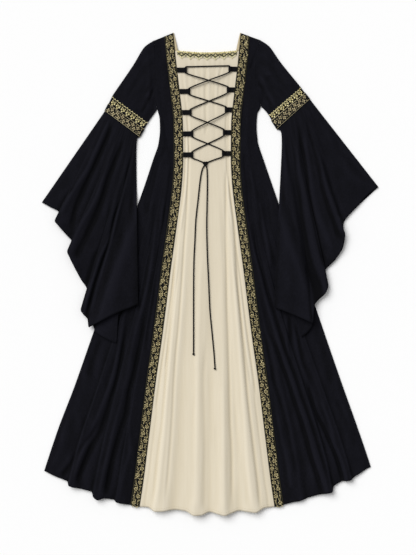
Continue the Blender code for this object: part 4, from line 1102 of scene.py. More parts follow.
def make_arm_ribbons():
    ground = ribbon_ground("black_arm_ribbon", (13.0,), "C8BC94")
    pieces = {}
    for side in SIGN:
        rings = []
        lines = (("ribbon_top", GAP), ("ribbon_end", 0.0))
        ends = [flat_ring(arm_line(side, name, shift), lambda u: arm_top(u) + TRIM_LIFT + RIBBON_EASE,
                          lambda u: ARM_UNDER_Z - TRIM_LIFT + 0 * np.asarray(u), 60,
                          inset=RIBBON_INSET, grow=TRIM_LIFT + 2 * RIBBON_EASE) for name, shift in lines]
        widths = np.linspace(-14.3, 14.3, 9)
        for w in np.linspace(0, 1, 9):
            rings.append(mix(ends[0], ends[1], w))
        grid = np.array(rings).transpose(1, 0, 2)
        grid = np.concatenate([grid, grid[:1]])
        piece = add_strip(f"ribbon_{side}", grid, widths, ground, TRIM_WALL, flip=side == "right")
        stand_for(piece, "flower_trim", f"arm_ribbon_{side}")
        pieces[side] = piece
    return pieces


arm_ribbons = make_arm_ribbons()


# Woven blossoms.
# The ribbons' pattern is brocaded in dull gold thread: many-petalled blossoms that alternate from
# side to side, with small buds and leaves between. Each stands a little above the ground.
BLOSSOM_PITCH = 21.0
BLOSSOM_SIDE = 5.2


def dull_gold_thread(name, deep, light):
    """Flat gilt thread, dulled: part metal, with a fine ribbed weave drawn 1.2 mm apart."""
    finish, tree, shader = start_finish(name, light, 0.5)
    shader.inputs["Metallic"].default_value = 0.25
    spot = add_node(tree, "ShaderNodeTexCoord").outputs["Object"]
    # Random spots from the deep to the light gold: the thread's uneven tone and painted glints.
    tone = add_node(tree, "ShaderNodeTexNoise", {"Vector": spot, "Scale": 260.0, "Detail": 3.0}).outputs[0]
    level = add_node(tree, "ShaderNodeMapRange", {"Value": tone, "From Min": 0.35,
                                                  "From Max": 0.65}).outputs[0]
    colour = add_node(tree, "ShaderNodeMix", {0: level, 6: linear(deep), 7: linear(light)},
                      data_type="RGBA").outputs[2]
    tree.links.new(colour, shader.inputs["Base Color"])
    ribs = add_node(tree, "ShaderNodeTexWave", {"Vector": spot, "Scale": 2 * math.pi / 0.024},
                    bands_direction="DIAGONAL").outputs[1]
    bump = add_node(tree, "ShaderNodeBump", {"Height": ribs, "Strength": 0.5, "Distance": 0.0002})
    tree.links.new(bump.outputs[0], shader.inputs["Normal"])
    return finish


gold_thread = dull_gold_thread("dull_gold_thread", "7A6C42", "D8CA98")
grey_gold_thread = dull_gold_thread("grey_gold_thread", "7C7050", "BFB189")


class Shape:
    """Points and faces of a small part, gathered bit by bit, in millimetres."""

    def __init__(self):
        self.points = []
        self.faces = []

    def add(self, points, faces):
        base = len(self.points)
        self.points.extend(tuple(float(c) for c in p) for p in points)
        self.faces.extend(tuple(base + int(i) for i in face) for face in faces)

    def pad(self, x, y, length, width, height, turn=0.0, sides=8, z=0.0):
        """A low closed dome, long along its turn."""
        rings = [(1.0, 0.0), (0.72, 0.72)]
        points = []
        for size, rise in rings:
            for i in range(sides):
                a = 2 * math.pi * i / sides
                u, v = size * length / 2 * math.cos(a), size * width / 2 * math.sin(a)
                points.append((x + u * math.cos(turn) - v * math.sin(turn),
                               y + u * math.sin(turn) + v * math.cos(turn), z + rise * height))
        points.append((x, y, z + height))
        faces = [tuple(reversed(range(sides)))]
        for i in range(sides):
            j = (i + 1) % sides
            faces.append((i, j, sides + j, sides + i))
            faces.append((sides + i, sides + j, 2 * sides))
        self.add(points, faces)

    def tube(self, points, radius, sides=8, closed=False):
        """A round cord along points, with closed ends."""
        rings, _ = cord_rings(points, radius, sides, closed)
        count = len(rings)
        faces = []
        for r in range(count if closed else count - 1):
            for c in range(sides):
                a, b = r * sides + c, r * sides + (c + 1) % sides
                n = (r + 1) % count
                faces.append((a, b, n * sides + (c + 1) % sides, n * sides + c))
        if not closed:
            faces.append(tuple(reversed(range(sides))))
            faces.append(tuple(range((count - 1) * sides, count * sides)))
        self.add(rings.reshape(-1, 3), faces)

    def part(self, name):
        """An unlinked object, for copies to be made of."""
        mesh = bpy.data.meshes.new(name)
        mesh.from_pydata((np.array(self.points) * MM).tolist(), [], self.faces)
        mesh.shade_smooth()
        return bpy.data.objects.new(name, mesh)


def cord_rings(points, radius, sides, closed=False):
    """Rings of points round a path, and how far along the path each one is."""
    points = np.asarray(points, float)
    if closed:
        ahead = np.roll(points, -1, 0) - np.roll(points, 1, 0)
    else:
        ahead = np.gradient(points, axis=0)
    ahead /= np.linalg.norm(ahead, axis=1)[:, None]
    radius = np.broadcast_to(np.asarray(radius, float), (len(points),))
    up = np.array([0.0, 0.0, 1.0])
    rings = []
    for spot, way, r in zip(points, ahead, radius):
        up = up - way * (up @ way)
        up /= np.linalg.norm(up)
        side = np.cross(up, way)
        turn = np.arange(sides) * 2 * math.pi / sides
        rings.append(spot + r * (np.cos(turn)[:, None] * side + np.sin(turn)[:, None] * up))
    along = np.concatenate([[0.0], np.cumsum(np.linalg.norm(np.diff(points, axis=0), axis=1))])
    return np.array(rings), along


def row_tree():
    """Node tree that sets copies of a part along a path: blossoms, beads and stitches."""
    tree = bpy.data.node_groups.new("parts_along_a_path", "GeometryNodeTree")
    kinds = (("Path", "Geometry"), ("Part", "Object"), ("Pitch", "Float"), ("Side Step", "Float"),
             ("Turn Spread", "Float"), ("Size Spread", "Float"), ("Flip Alternate", "Float"),
             ("Seed", "Int"), ("Finish", "Material"))
    for name, kind in kinds:
        tree.interface.new_socket(name=name, in_out="INPUT", socket_type="NodeSocket" + kind)
    tree.interface.new_socket(name="Result", in_out="OUTPUT", socket_type="NodeSocketGeometry")
    given = add_node(tree, "NodeGroupInput").outputs
    curve = add_node(tree, "GeometryNodeMeshToCurve", {0: given["Path"]}).outputs[0]
    spots = add_node(tree, "GeometryNodeResampleCurve", {"Curve": curve, "Length": given["Pitch"]},
                     mode="LENGTH").outputs[0]
    way = add_node(tree, "GeometryNodeInputTangent").outputs[0]
    aim = add_node(tree, "FunctionNodeAlignRotationToVector", {"Vector": way}, axis="X").outputs[0]
    aim = add_node(tree, "FunctionNodeAlignRotationToVector", {"Rotation": aim, "Vector": (0.0, 0.0, 1.0)},
                   axis="Z", pivot_axis="X").outputs[0]
    part = add_node(tree, "GeometryNodeObjectInfo", {"Object": given["Part"]}).outputs["Geometry"]
    low = add_node(tree, "ShaderNodeMath", {0: 1.0, 1: given["Size Spread"]}, operation="SUBTRACT").outputs[0]
    size = add_node(tree, "FunctionNodeRandomValue", {2: low, 3: 1.0, "Seed": given["Seed"]}).outputs[1]
    copies = add_node(tree, "GeometryNodeInstanceOnPoints",
                      {"Points": spots, "Instance": part, "Rotation": aim, "Scale": size}).outputs[0]
    index = add_node(tree, "GeometryNodeInputIndex").outputs[0]
    odd = add_node(tree, "ShaderNodeMath", {0: index, 1: 2.0}, operation="MODULO").outputs[0]
    sign = add_node(tree, "ShaderNodeMath", {0: odd, 1: 2.0, 2: -1.0}, operation="MULTIPLY_ADD").outputs[0]
    step = add_node(tree, "ShaderNodeMath", {0: sign, 1: given["Side Step"]}, operation="MULTIPLY").outputs[0]
    shift = add_node(tree, "ShaderNodeCombineXYZ", {"Y": step}).outputs[0]
    moved = add_node(tree, "GeometryNodeTranslateInstances",
                     {"Instances": copies, "Translation": shift, "Local Space": True}).outputs[0]
    back = add_node(tree, "ShaderNodeMath", {0: given["Turn Spread"], 1: -1.0}, operation="MULTIPLY").outputs[0]
    turn = add_node(tree, "FunctionNodeRandomValue",
                    {2: back, 3: given["Turn Spread"], "Seed": given["Seed"]}).outputs[1]
    flip = add_node(tree, "ShaderNodeMath", {0: odd, 1: given["Flip Alternate"], 2: turn},
                    operation="MULTIPLY_ADD").outputs[0]
    spin = add_node(tree, "FunctionNodeEulerToRotation",
                    {0: add_node(tree, "ShaderNodeCombineXYZ", {"Z": flip}).outputs[0]}).outputs[0]
    turned = add_node(tree, "GeometryNodeRotateInstances",
                      {"Instances": moved, "Rotation": spin, "Local Space": True}).outputs[0]
    real = add_node(tree, "GeometryNodeRealizeInstances", {0: turned}).outputs[0]
    painted = add_node(tree, "GeometryNodeSetMaterial",
                       {"Geometry": real, "Material": given["Finish"]}).outputs[0]
    add_node(tree, "NodeGroupOutput", {0: painted})
    return tree


part_row = row_tree()


def set_row(path, part, pitch, finish, side_step=0.0, turn=0.0, size=0.0, flip=0.0, seed=1):
    """A mesh of copies of a part along a path in millimetres, pitch apart."""
    line = bpy.data.meshes.new("path")
    line.from_pydata((np.asarray(path, float) * MM).tolist(), [(i, i + 1) for i in range(len(path) - 1)], [])
    carrier = bpy.data.objects.new("path", line)
    bpy.context.scene.collection.objects.link(carrier)
    nodes = carrier.modifiers.new("row", "NODES")
    nodes.node_group = part_row
    values = {"Part": part, "Pitch": pitch * MM, "Side Step": side_step * MM, "Turn Spread": turn,
              "Size Spread": size, "Flip Alternate": flip, "Seed": seed, "Finish": finish}
    for item in part_row.interface.items_tree:
        if item.name in values:
            nodes[item.identifier] = values[item.name]
    graph = bpy.context.evaluated_depsgraph_get()
    mesh = bpy.data.meshes.new_from_object(carrier.evaluated_get(graph))
    bpy.data.objects.remove(carrier)
    return mesh


def join_rows(name, meshes, finish):
    """One piece from several meshes of one finish."""
    points, faces = [], []
    for mesh in meshes:
        base = len(points)
        points.extend(v.co / MM for v in mesh.vertices)
        faces.extend(tuple(base + i for i in polygon.vertices) for polygon in mesh.polygons)
    return add_piece(name, points, faces, finish)


def blossom(size, petals):
    """A round blossom: outer petals with gaps between them, a ring of ground, and a raised eye."""
    shape = Shape()
    reach = size / 2
    wide = 2 * math.pi * reach * 0.7 / petals
    for i in range(petals):
        a = 2 * math.pi * i / petals
        shape.pad(reach * 0.68 * math.cos(a), reach * 0.68 * math.sin(a), reach * 0.64, wide * 0.9,
                  0.75, turn=a)
    for i in range(4):
        a = 2 * math.pi * (i + 0.5) / 4
        shape.pad(reach * 0.17 * math.cos(a), reach * 0.17 * math.sin(a), reach * 0.34, reach * 0.3,
                  0.95, turn=a, sides=6)
    return shape


def clover(size, lobes):
    """A solid flower head of round lobes, as woven on the arm ribbons."""
    shape = Shape()
    reach = size / 2
    for i in range(lobes):
        a = 2 * math.pi * i / lobes
        long = 1 + 0.16 * (i % 2)
        shape.pad(reach * 0.54 * long * math.cos(a), reach * 0.54 * long * math.sin(a),
                  reach * 0.92, reach * 0.8, 0.8 + 0.06 * (i % 2), turn=a)
    return shape


def spray(size):
    """A curved spray: a bud at the end of a row of leaves that grow smaller."""
    shape = Shape()
    for step, (x, y, long, wide, turn) in enumerate(((0.42, 0.10, 0.46, 0.34, 0.3), (0.05, 0.20, 0.36, 0.2, 1.0),
                                                     (0.02, -0.16, 0.4, 0.2, -0.8), (-0.3, 0.0, 0.34, 0.2, -0.2),
                                                     (-0.5, -0.18, 0.24, 0.18, 0.6))):
        shape.pad(size * x, size * y, size * long, size * wide, 0.7 - 0.04 * step, turn=turn, sides=7)
    return shape


def sprig(size):
    """Three broad leaves on a short stem."""
    shape = Shape()
    for turn, reach in ((0.0, 0.42), (1.15, 0.36), (-1.15, 0.36)):
        shape.pad(size * reach * math.cos(turn), size * reach * math.sin(turn), size * 0.56,
                  size * 0.36, 0.6, turn=turn, sides=7)
    shape.pad(-size * 0.12, 0, size * 0.5, size * 0.16, 0.5, sides=6)
    return shape


def make_hem_stitches():
    """A row of small stitches along the hem of the centre front, 9 mm above its edge."""
    thread, _, shader = start_finish("cream_sewing_thread", "B9AC90", 0.6)
    stitch = Shape()
    stitch.pad(0, 0, 3.4, 0.9, 0.5, sides=6)
    part = stitch.part("stitch")
    path = []
    for x in np.arange(-196, 197, 4.0):
        edge = centre_edge(x) + 9.0
        path.append((x, edge, top_of(centre_tree, x, edge) - 0.1))
    mesh = set_row(path, part, 5.2, thread, seed=2)
    piece = join_rows("centre_hem_stitches", [mesh], thread)
    bpy.data.objects.remove(part)
    return piece


def make_trim_blossoms():
    big = blossom(14.6, 6).part("blossom")
    small = spray(11.5).part("spray")
    leaf = sprig(7.4).part("leaves")
    for side in SIGN:
        steps = np.linspace(0, len(FRONT_ROWS[side]) - 1, 400)
        path = trim_points(side, steps, [0.0], TRIM_WALL / 2 + 0.1)[:, 0]
        length = np.concatenate([[0.0], np.cumsum(np.linalg.norm(np.diff(path, axis=0), axis=1))])

        def run(start, path=path, length=length):
            """The trim's middle line from start, a whole number of blossoms long."""
            marks = start + BLOSSOM_PITCH * np.arange(0, int((length[-1] - 20) / BLOSSOM_PITCH) + 0.1, 0.25)
            return np.stack([np.interp(marks, length, column) for column in path.T], 1)

        pitch = BLOSSOM_PITCH
        way = SIGN[side]
        half = pitch / 2
        rows = [
            set_row(run(9), big, pitch, gold_thread, BLOSSOM_SIDE * way, 1.5, 0.12, seed=3),
            set_row(run(9), small, pitch, gold_thread, -8.2 * way, 0.5, 0.2, 3.1, 5),
            set_row(run(9 + half), leaf, pitch, gold_thread, 8.8 * way, 1.2, 0.15, 2.6, 6),
            set_row(run(9 + half), small, pitch, gold_thread, -3.0 * way, 0.6, 0.3, 0.8, 7),
            set_row(run(9 + half * 0.9), leaf, pitch, gold_thread, -10.2 * way, 0.8, 0.35, 1.0, 8),
        ]
        piece = join_rows(f"trim_blossoms_{side}", rows, gold_thread)
    for part in (big, small, leaf):
        bpy.data.objects.remove(part)


def make_arm_blossoms():
    big = clover(13.2, 4).part("arm_blossom")
    leaf = sprig(5.6).part("arm_leaves")
    for side in SIGN:
        upper, lower = arm_line(side, "ribbon_top", GAP), arm_line(side, "ribbon_end")

        def path(share, start, end, upper=upper, lower=lower):
            """A line across the arm on the ribbon's upper face."""
            u = np.linspace(start, end, 60)
            plan = mix(upper(u), lower(u), share)
            z = arm_top(u) + TRIM_LIFT + RIBBON_EASE + TRIM_WALL / 2
            return np.concatenate([plan, z[:, None]], 1)

        rows = [
            set_row(path(0.52, 0.065, 0.95), big, 9.6, grey_gold_thread, 4.7, 0.7, 0.12, seed=11),
            set_row(path(0.52, 0.065, 0.95), leaf, 9.6, grey_gold_thread, -8.2, 1.2, 0.2, seed=12),
        ]
        piece = join_rows(f"arm_blossoms_{side}", rows, grey_gold_thread)
    for part in (big, leaf):
        bpy.data.objects.remove(part)


make_trim_blossoms()
make_arm_blossoms()
hem_stitches = make_hem_stitches()


# Neck lace.
# A gold gimp braid over the neck edge of the centre front: rows of thick cord that zigzag down to
# points, a dark olive row in their middle, a corded upper edge with picots, and bright beads.
NECK_REPEATS = 7
NECK_LACE_Y = 681.0
NECK_LACE_SHORT = 6.0
NECK_SWING = 4.4
GIMP = 1.2


def gold_gimp():
    """Bright gold cord wound with gilt thread: metal, with the windings drawn 1 mm apart."""
    finish, tree, shader = start_finish("gold_gimp_cord", "E2D084", 0.42)
    shader.inputs["Metallic"].default_value = 0.15
    spot = add_node(tree, "ShaderNodeTexCoord").outputs["Object"]
    # Random spots from deep gold to near white: the cord's uneven tone and painted glints.
    tone = add_node(tree, "ShaderNodeTexNoise", {"Vector": spot, "Scale": 330.0, "Detail": 2.0}).outputs[0]
    level = add_node(tree, "ShaderNodeMapRange", {"Value": tone, "From Min": 0.35,
                                                  "From Max": 0.65}).outputs[0]
    colour = add_node(tree, "ShaderNodeMix", {0: level, 6: linear("BBAA60"), 7: linear("FFF7C8")},
                      data_type="RGBA").outputs[2]
    tree.links.new(colour, shader.inputs["Base Color"])
    winds = add_node(tree, "ShaderNodeTexWave", {"Vector": spot, "Scale": 2 * math.pi / 0.02},
                     bands_direction="DIAGONAL").outputs[1]
    bump = add_node(tree, "ShaderNodeBump", {"Height": winds, "Strength": 0.5, "Distance": 0.0002})
    tree.links.new(bump.outputs[0], shader.inputs["Normal"])
    return finish


def olive_silk():
    """Dark olive silk cord, with a soft shine."""
    finish, tree, shader = start_finish("olive_silk_cord", "3C4028", 0.5)
    spot = add_node(tree, "ShaderNodeTexCoord").outputs["Object"]
    twist = add_node(tree, "ShaderNodeTexWave", {"Vector": spot, "Scale": 2 * math.pi / 0.02},
                     bands_direction="DIAGONAL").outputs[1]
    colour = add_node(tree, "ShaderNodeMix", {0: twist, 6: linear("14180C"), 7: linear("363A22")},
                      data_type="RGBA").outputs[2]
    tree.links.new(colour, shader.inputs["Base Color"])
    bump = add_node(tree, "ShaderNodeBump", {"Height": twist, "Strength": 0.4, "Distance": 0.0002})
    tree.links.new(bump.outputs[0], shader.inputs["Normal"])
    return finish


def pale_silk():
    """Pale straw-coloured silk cord, softly shiny."""
    finish, tree, shader = start_finish("pale_silk_cord", "DDD4AC", 0.55)
    spot = add_node(tree, "ShaderNodeTexCoord").outputs["Object"]
    twist = add_node(tree, "ShaderNodeTexWave", {"Vector": spot, "Scale": 2 * math.pi / 0.02},
                     bands_direction="DIAGONAL").outputs[1]
    colour = add_node(tree, "ShaderNodeMix", {0: twist, 6: linear("CFC79E"), 7: linear("F2ECCC")},
                      data_type="RGBA").outputs[2]
    tree.links.new(colour, shader.inputs["Base Color"])
    return finish


gimp_gold = gold_gimp()
silk_olive = olive_silk()
silk_pale = pale_silk()


def neck_place(a, b):
    """A point on the neck lace: a along it in repeats, b down it in millimetres."""
    s = a / NECK_REPEATS
    dip = NECK_SAG * math.sin(math.pi * s)
    y = NECK_LACE_Y - dip - b
    half = float(seam_x(y)) - TRIM_HALF - NECK_LACE_SHORT
    x = mix(-half, half, s)
    return x, y, neck_level(s)


neck_keys = np.linspace(0, 1, 29)
neck_heights = []
for key in neck_keys:
    half_width = float(seam_x(668)) - TRIM_HALF - NECK_LACE_SHORT
    rows = [670 - NECK_SAG * math.sin(math.pi * key) - d for d in (0, 5, 10)]
    neck_heights.append(max(top_of(centre_tree, mix(-half_width, half_width, key), y, 3) for y in rows))
neck_level = smooth_line(neck_keys, np.array(neck_heights) + GAP)


def triangle_wave(a):
    """-1 at whole repeats, 1 at the points between them."""
    return 1 - 2 * abs(2 * (a % 1) - 1)


def make_neck_lace():
    gold, olive, pale = Shape(), Shape(), Shape()
    a_all = np.linspace(0, NECK_REPEATS, NECK_REPEATS * 12 + 1)
    waves = ((gold, -3.4, 0.7, 0.8, 0.0), (olive, 0.0, 1.7, 1.1, 0.0), (olive, -2.2, 1.1, 1.2, 0.5),
             (gold, 2.6, 0.7, 0.8, 0.0), (pale, 4.7, 0.8, 0.8, 0.0), (pale, 6.6, 0.7, 0.7, 0.0))
    for shape, off, radius, lift, phase in waves:
        line = []
        for a in a_all:
            swing = NECK_SWING * triangle_wave(a + phase)
            x, y, z = neck_place(a, max(11.0 + off + swing, 2.2))
            line.append((x, y, z + lift * GIMP))
        shape.tube(line, radius)
    for b, radius in ((1.4, 1.0), (3.4, 0.8)):
        line = [neck_place(a, b) for a in a_all]
        gold.tube([(x, y, z + GIMP * 0.8) for x, y, z in line], radius)
    for k in range(NECK_REPEATS * 4 + 1):
        x, y, z = neck_place(k / 4, 0.4)
        gold.pad(x, y, 3.0, 3.8, 2.4, turn=math.pi / 2, z=z)
    for k in range(NECK_REPEATS):
        for da, b, size in ((0.5, 6.6, 4.8), (0.5, 11.6, 4.4), (0.22, 4.6, 4.2), (0.78, 4.6, 4.2)):
            x, y, z = neck_place(k + da, b)
            gold.pad(x, y, size, size, 2.6, z=z)
        for da, b in ((0.38, 19.6), (0.42, 22.0), (0.58, 22.0), (0.5, 23.4), (0.62, 19.6)):
            x, y, z = neck_place(k + da, b)
            pale.pad(x, y, 2.6, 2.6, 1.8, z=z)
    for k in range(1, NECK_REPEATS):
        for shape, da, b in ((gold, 0.0, 11.4), (olive, 0.0, 16.6), (pale, -0.16, 17.8), (pale, 0.16, 17.8)):
            x, y, z = neck_place(k + da, b)
            shape.pad(x, y, 2.4, 2.4, 2.0, z=z)
    piece = add_piece("neck_braid", gold.points, gold.faces, gimp_gold)
    stand_for(piece, "gold_lace", "neck_lace")
    for name, shape, finish in (("olive", olive, silk_olive), ("pale", pale, silk_pale)):
        row = add_piece(f"neck_braid_{name}_rows", shape.points, shape.faces, finish)


make_neck_lace()


# Arm laces.
# Gold gimp again: a corded band with picots along its upper edge, and seven hanging motifs of
# three round lobes, each with a bead. A plain gold band goes round under the arm.
ARM_REPEATS = 7
ARM_DEPTH = 18.5


def three_lobes():
    """One hanging motif, x along the lace and y towards the shoulder: three lobes of cord, each
    round a bead, and smaller beads on the stems that tie them to the band."""
    shape = Shape()
    for x, y, size in ((-4.6, 0.4, 2.2), (4.6, 0.4, 2.2), (0.0, -4.8, 2.2)):
        ring = [(x + size * math.cos(t), y + size * math.sin(t), 0.6)
                for t in np.linspace(0, 2 * math.pi, 13)[:-1]]
        shape.tube(ring, 0.5, sides=6, closed=True)
        shape.pad(x, y, size * 2.0, size * 2.0, 2.6, sides=8)
    for x, y, size in ((0.0, 3.4, 3.4), (-5.6, 6.4, 3.6), (5.6, 6.4, 3.6)):
        shape.pad(x, y, size, size, 2.4, sides=7)
    for way in (-1, 1):
        shape.tube([(way * 3.0, 2.2, 0.6), (way * 1.9, 4.8, 0.7), (way * 2.4, 8.0, 0.6)], 0.5, sides=6)
        shape.tube([(way * 4.6, 2.8, 0.6), (way * 5.6, 5.4, 0.7), (way * 6.8, 8.0, 0.6)], 0.5, sides=6)
    return shape


def make_arm_laces():
    for side in SIGN:
        upper = arm_line(side, "lace_top")
        lower = arm_line(side, "ribbon_top", -GAP)

        def place(a, b, upper=upper, lower=lower):
            """A point on the arm lace: a from 0 to 1 across the arm, b down it in millimetres."""
            u = mix(0.02, 0.98, np.atleast_1d(np.asarray(a, float)))
            plan = mix(upper(u), lower(u), b / ARM_DEPTH)
            z = arm_top(u) + BLACK_WALL / 2 + GAP
            return np.concatenate([plan, z[:, None]], 1)

        band = Shape()
        a_all = np.linspace(0, 1, 60)
        for b, radius in ((2.4, 0.45),):
            line = place(a_all, b)
            line[:, 2] += radius
            band.tube(line, radius)
        for k in range(15):
            x, y, z = place(k / 14, 1.2 + 0.9 * (k % 2))[0]
            band.pad(x, y, 4.6, 3.8, 2.5, z=z)
        for k in range(14):
            x, y, z = place((k + 0.5) / 14, 3.6)[0]
            band.pad(x, y, 2.6, 2.2, 2.0, z=z)
        line = place(np.linspace(0.5 / ARM_REPEATS, 1 - 0.5 / ARM_REPEATS, 40), 12.6)
        span = np.linalg.norm(np.diff(line, axis=0), axis=1).sum()
        part = lobes_part(side == "right")
        rows = [set_row(line, part, span * 0.9999 / (ARM_REPEATS - 1), gimp_gold, seed=21)]
        rows.append(shape_mesh(band))
        piece = join_rows(f"arm_braid_{side}", rows, gimp_gold)
        stand_for(piece, "gold_lace", f"arm_lace_front_{side}")
        bpy.data.objects.remove(part)

        under = Shape()
        for k in range(20):
            line = place(a_all, ARM_DEPTH * (0.5 + k) / 20)
            line[:, 2] = TRIM_WALL / 2 + 0.02 * (k % 2)
            under.tube(line, TRIM_WALL / 2 - 0.02, sides=6)
        band = add_piece(f"arm_braid_under_{side}", under.points, under.faces, gimp_gold)
        stand_for(band, "gold_lace", f"arm_lace_back_{side}")


def shape_mesh(shape):
    mesh = bpy.data.meshes.new("shape")
    mesh.from_pydata((np.array(shape.points) * MM).tolist(), [], shape.faces)
    return mesh


def lobes_part(flip):
    """The motif, turned so that its stems point to the shoulder on either arm."""
    shape = three_lobes()
    if flip:
        shape.points = [(-x, -y, z) for x, y, z in shape.points]
    return shape.part("lobes")


make_arm_laces()


# Lacing loops.
# Ten short black grosgrain ribbons, each folded round the lace and sewn down beside the trim's edge.
LOOPS = {
    # height of each loop's middle and where its eye ends, from the top pair to the lowest
    "left": ((621, -61), (556, -51), (492, -47), (427, -42), (363, -42)),
    "right": ((624, 65), (561, 60), (500, 54), (431, 48), (367, 45)),
}
LOOP_WIDTH = 15.0
LOOP_FALL = ((3.2, 5.2), (6.0, 2.6), (9.5, 0.0))
LACE_DIAMETER = 4.0
EYE_EASE = 0.7
EYE_RADIUS = LACE_DIAMETER / 2 + EYE_EASE + TRIM_WALL / 2


def grosgrain():
    """Black grosgrain ribbon: matt, with ribs straight across it, drawn 1.3 mm apart."""
    finish, tree, shader = start_finish("black_grosgrain", "101114", 0.75)
    shader.inputs["Specular IOR Level"].default_value = 0.1
    spot = add_node(tree, "ShaderNodeUVMap", uv_map="UVMap").outputs["UV"]
    ribs = add_node(tree, "ShaderNodeTexWave", {"Vector": spot, "Scale": 2 * math.pi / 0.026},
                    bands_direction="Y").outputs[1]
    colour = add_node(tree, "ShaderNodeMix", {0: ribs, 6: linear("050507"), 7: linear("0C0C10")},
                      data_type="RGBA").outputs[2]
    tree.links.new(colour, shader.inputs["Base Color"])
    bump = add_node(tree, "ShaderNodeBump", {"Height": ribs, "Strength": 0.6, "Distance": 0.0003})
    tree.links.new(bump.outputs[0], shader.inputs["Normal"])
    return finish


def make_loops():
    ribbon = grosgrain()
    widths = np.array([-7.5, -6.9, -4, 0, 4, 6.9, 7.5])
    eyes = {"left": [], "right": []}
    for side in SIGN:
        inward = -SIGN[side]
        for number, (y, eye_x) in enumerate(LOOPS[side], start=1):
            rows_y = y + widths
            start = SIGN[side] * (seam_x(rows_y) - TRIM_HALF - 0.4)
            begin = SIGN[side] * (float(seam_x(y)) - TRIM_HALF)
            level = max(top_of(centre_tree, mix(begin, eye_x, i / 5), y + dy, 3)
                        for i in range(6) for dy in (-7, 0, 7))
            low = level + GAP + TRIM_WALL / 2
            centre_z = low + EYE_RADIUS
            centre_x = eye_x - inward * (EYE_RADIUS + TRIM_WALL / 2)
            back = low + TRIM_WALL + GAP
            profile = [(mix(start, centre_x, t), low) for t in np.linspace(0, 1, 7)]
            for angle in range(-75, 91, 15):
                turn = math.radians(angle)
                profile.append((start * 0 + centre_x + inward * EYE_RADIUS * math.cos(turn),
                                centre_z + EYE_RADIUS * math.sin(turn)))
            for away, over in LOOP_FALL:
                profile.append((start * 0 + centre_x - inward * away, back + over))
            last_x = profile[-1][0]
            profile.extend((mix(last_x, start, t), back) for t in np.linspace(0.2, 1, 5))
            grid = np.array([np.stack([x, rows_y, start * 0 + z], 1) for x, z in profile])
            piece = add_strip(f"lacing_loop_{side}_{number}", grid, widths, ribbon, TRIM_WALL,
                              flip=side == "right")
            stand_for(piece, "black_ribbon", f"lace_loop_{side}_{number}")
            eyes[side].append(np.array([centre_x, y, centre_z]))
    return eyes


loop_eyes = make_loops()


# Lacing, its knot and tails.
# One round braided black cord, laced crosswise up through the loops, with a straight run at the top.
# Its ends meet in a knot below the lowest pair and hang free, each with a small knot on its tip.
CORD_REST = 0.55
KNOT_AT = (-5.0, 336.0)
KNOT_RISE = 1.6
TAIL_KNOT_HALF = 4.3
TAIL_KNOT_RISE = 1.4
TOP_RUN_Y = 631.0
TAILS = {
    "left": ((-8, 331), (-15, 317), (-21, 284), (-27, 229), (-34, 165), (-37, 101), (-40, 37),
             (-41, -49), (-41, -134), (-41, -239)),
    "right": ((-2.6, 330.8), (0, 318), (1, 271), (0, 207), (-1, 143), (1, 58), (5, -27), (9, -113),
              (15, -177), (21, -241), (24, -283)),
}


def braided_cord():
    """Round black cord, braided of eight shiny strands, which cross about 3 mm apart.
    U runs round the cord and V along it, both in metres."""
    finish, tree, shader = start_finish("braided_black_cord", "0C0C0E", 0.55)
    shader.inputs["Specular IOR Level"].default_value = 0.12
    spot = add_node(tree, "ShaderNodeUVMap", uv_map="UVMap").outputs["UV"]
    crossed = []
    for turn in (0.785, -0.785):
        turned = add_node(tree, "ShaderNodeMapping", {"Vector": spot, "Rotation": (0, 0, turn)}).outputs[0]
        crossed.append(add_node(tree, "ShaderNodeTexWave", {"Vector": turned, "Scale": 2 * math.pi / 0.04},
                                bands_direction="X").outputs[1])
    strands = add_node(tree, "ShaderNodeMath", {0: crossed[0], 1: crossed[1]}, operation="MAXIMUM").outputs[0]
    colour = add_node(tree, "ShaderNodeMix", {0: strands, 6: linear("040405"), 7: linear("0B0B0D")},
                      data_type="RGBA").outputs[2]
    tree.links.new(colour, shader.inputs["Base Color"])
    bump = add_node(tree, "ShaderNodeBump", {"Height": strands, "Strength": 0.7, "Distance": 0.0004})
    tree.links.new(bump.outputs[0], shader.inputs["Normal"])
    return finish


black_cord = braided_cord()


def add_cord(name, points, radius=LACE_DIAMETER / 2, sides=12, closed=False):
    """A round cord through points in millimetres, with rounded ends and UVs that follow it."""
    points = np.asarray(points, float)
    sizes = np.full(len(points), radius)
    if not closed:
        way = points[0] - points[1]
        first = points[0] + way / np.linalg.norm(way) * 0.6
        way = points[-1] - points[-2]
        last = points[-1] + way / np.linalg.norm(way) * 0.6
        points = np.concatenate([[first], points, [last]])
        sizes = np.concatenate([[radius * 0.6], sizes, [radius * 0.6]])
    rings, along = cord_rings(points, sizes, sides, closed)
    count = len(rings)
    faces, uvs = [], []
    step = 2 * math.pi * radius / sides * MM
    for r in range(count if closed else count - 1):
        n = (r + 1) % count
        v0 = along[r] * MM
        v1 = along[n] * MM if n else v0 + np.linalg.norm(points[0] - points[-1]) * MM
        for c in range(sides):
            d = (c + 1) % sides
            faces.append((r * sides + c, r * sides + d, n * sides + d, n * sides + c))
            uvs.extend([(c * step, v0), ((c + 1) * step, v0), ((c + 1) * step, v1), (c * step, v1)])
    if not closed:
        for ring, order in ((0, -1), (count - 1, 1)):
            faces.append(tuple(range(ring * sides, (ring + 1) * sides))[::order])
            uvs.extend([(0.0, 0.0)] * sides)
    return add_piece(name, rings.reshape(-1, 3), faces, black_cord, uvs)


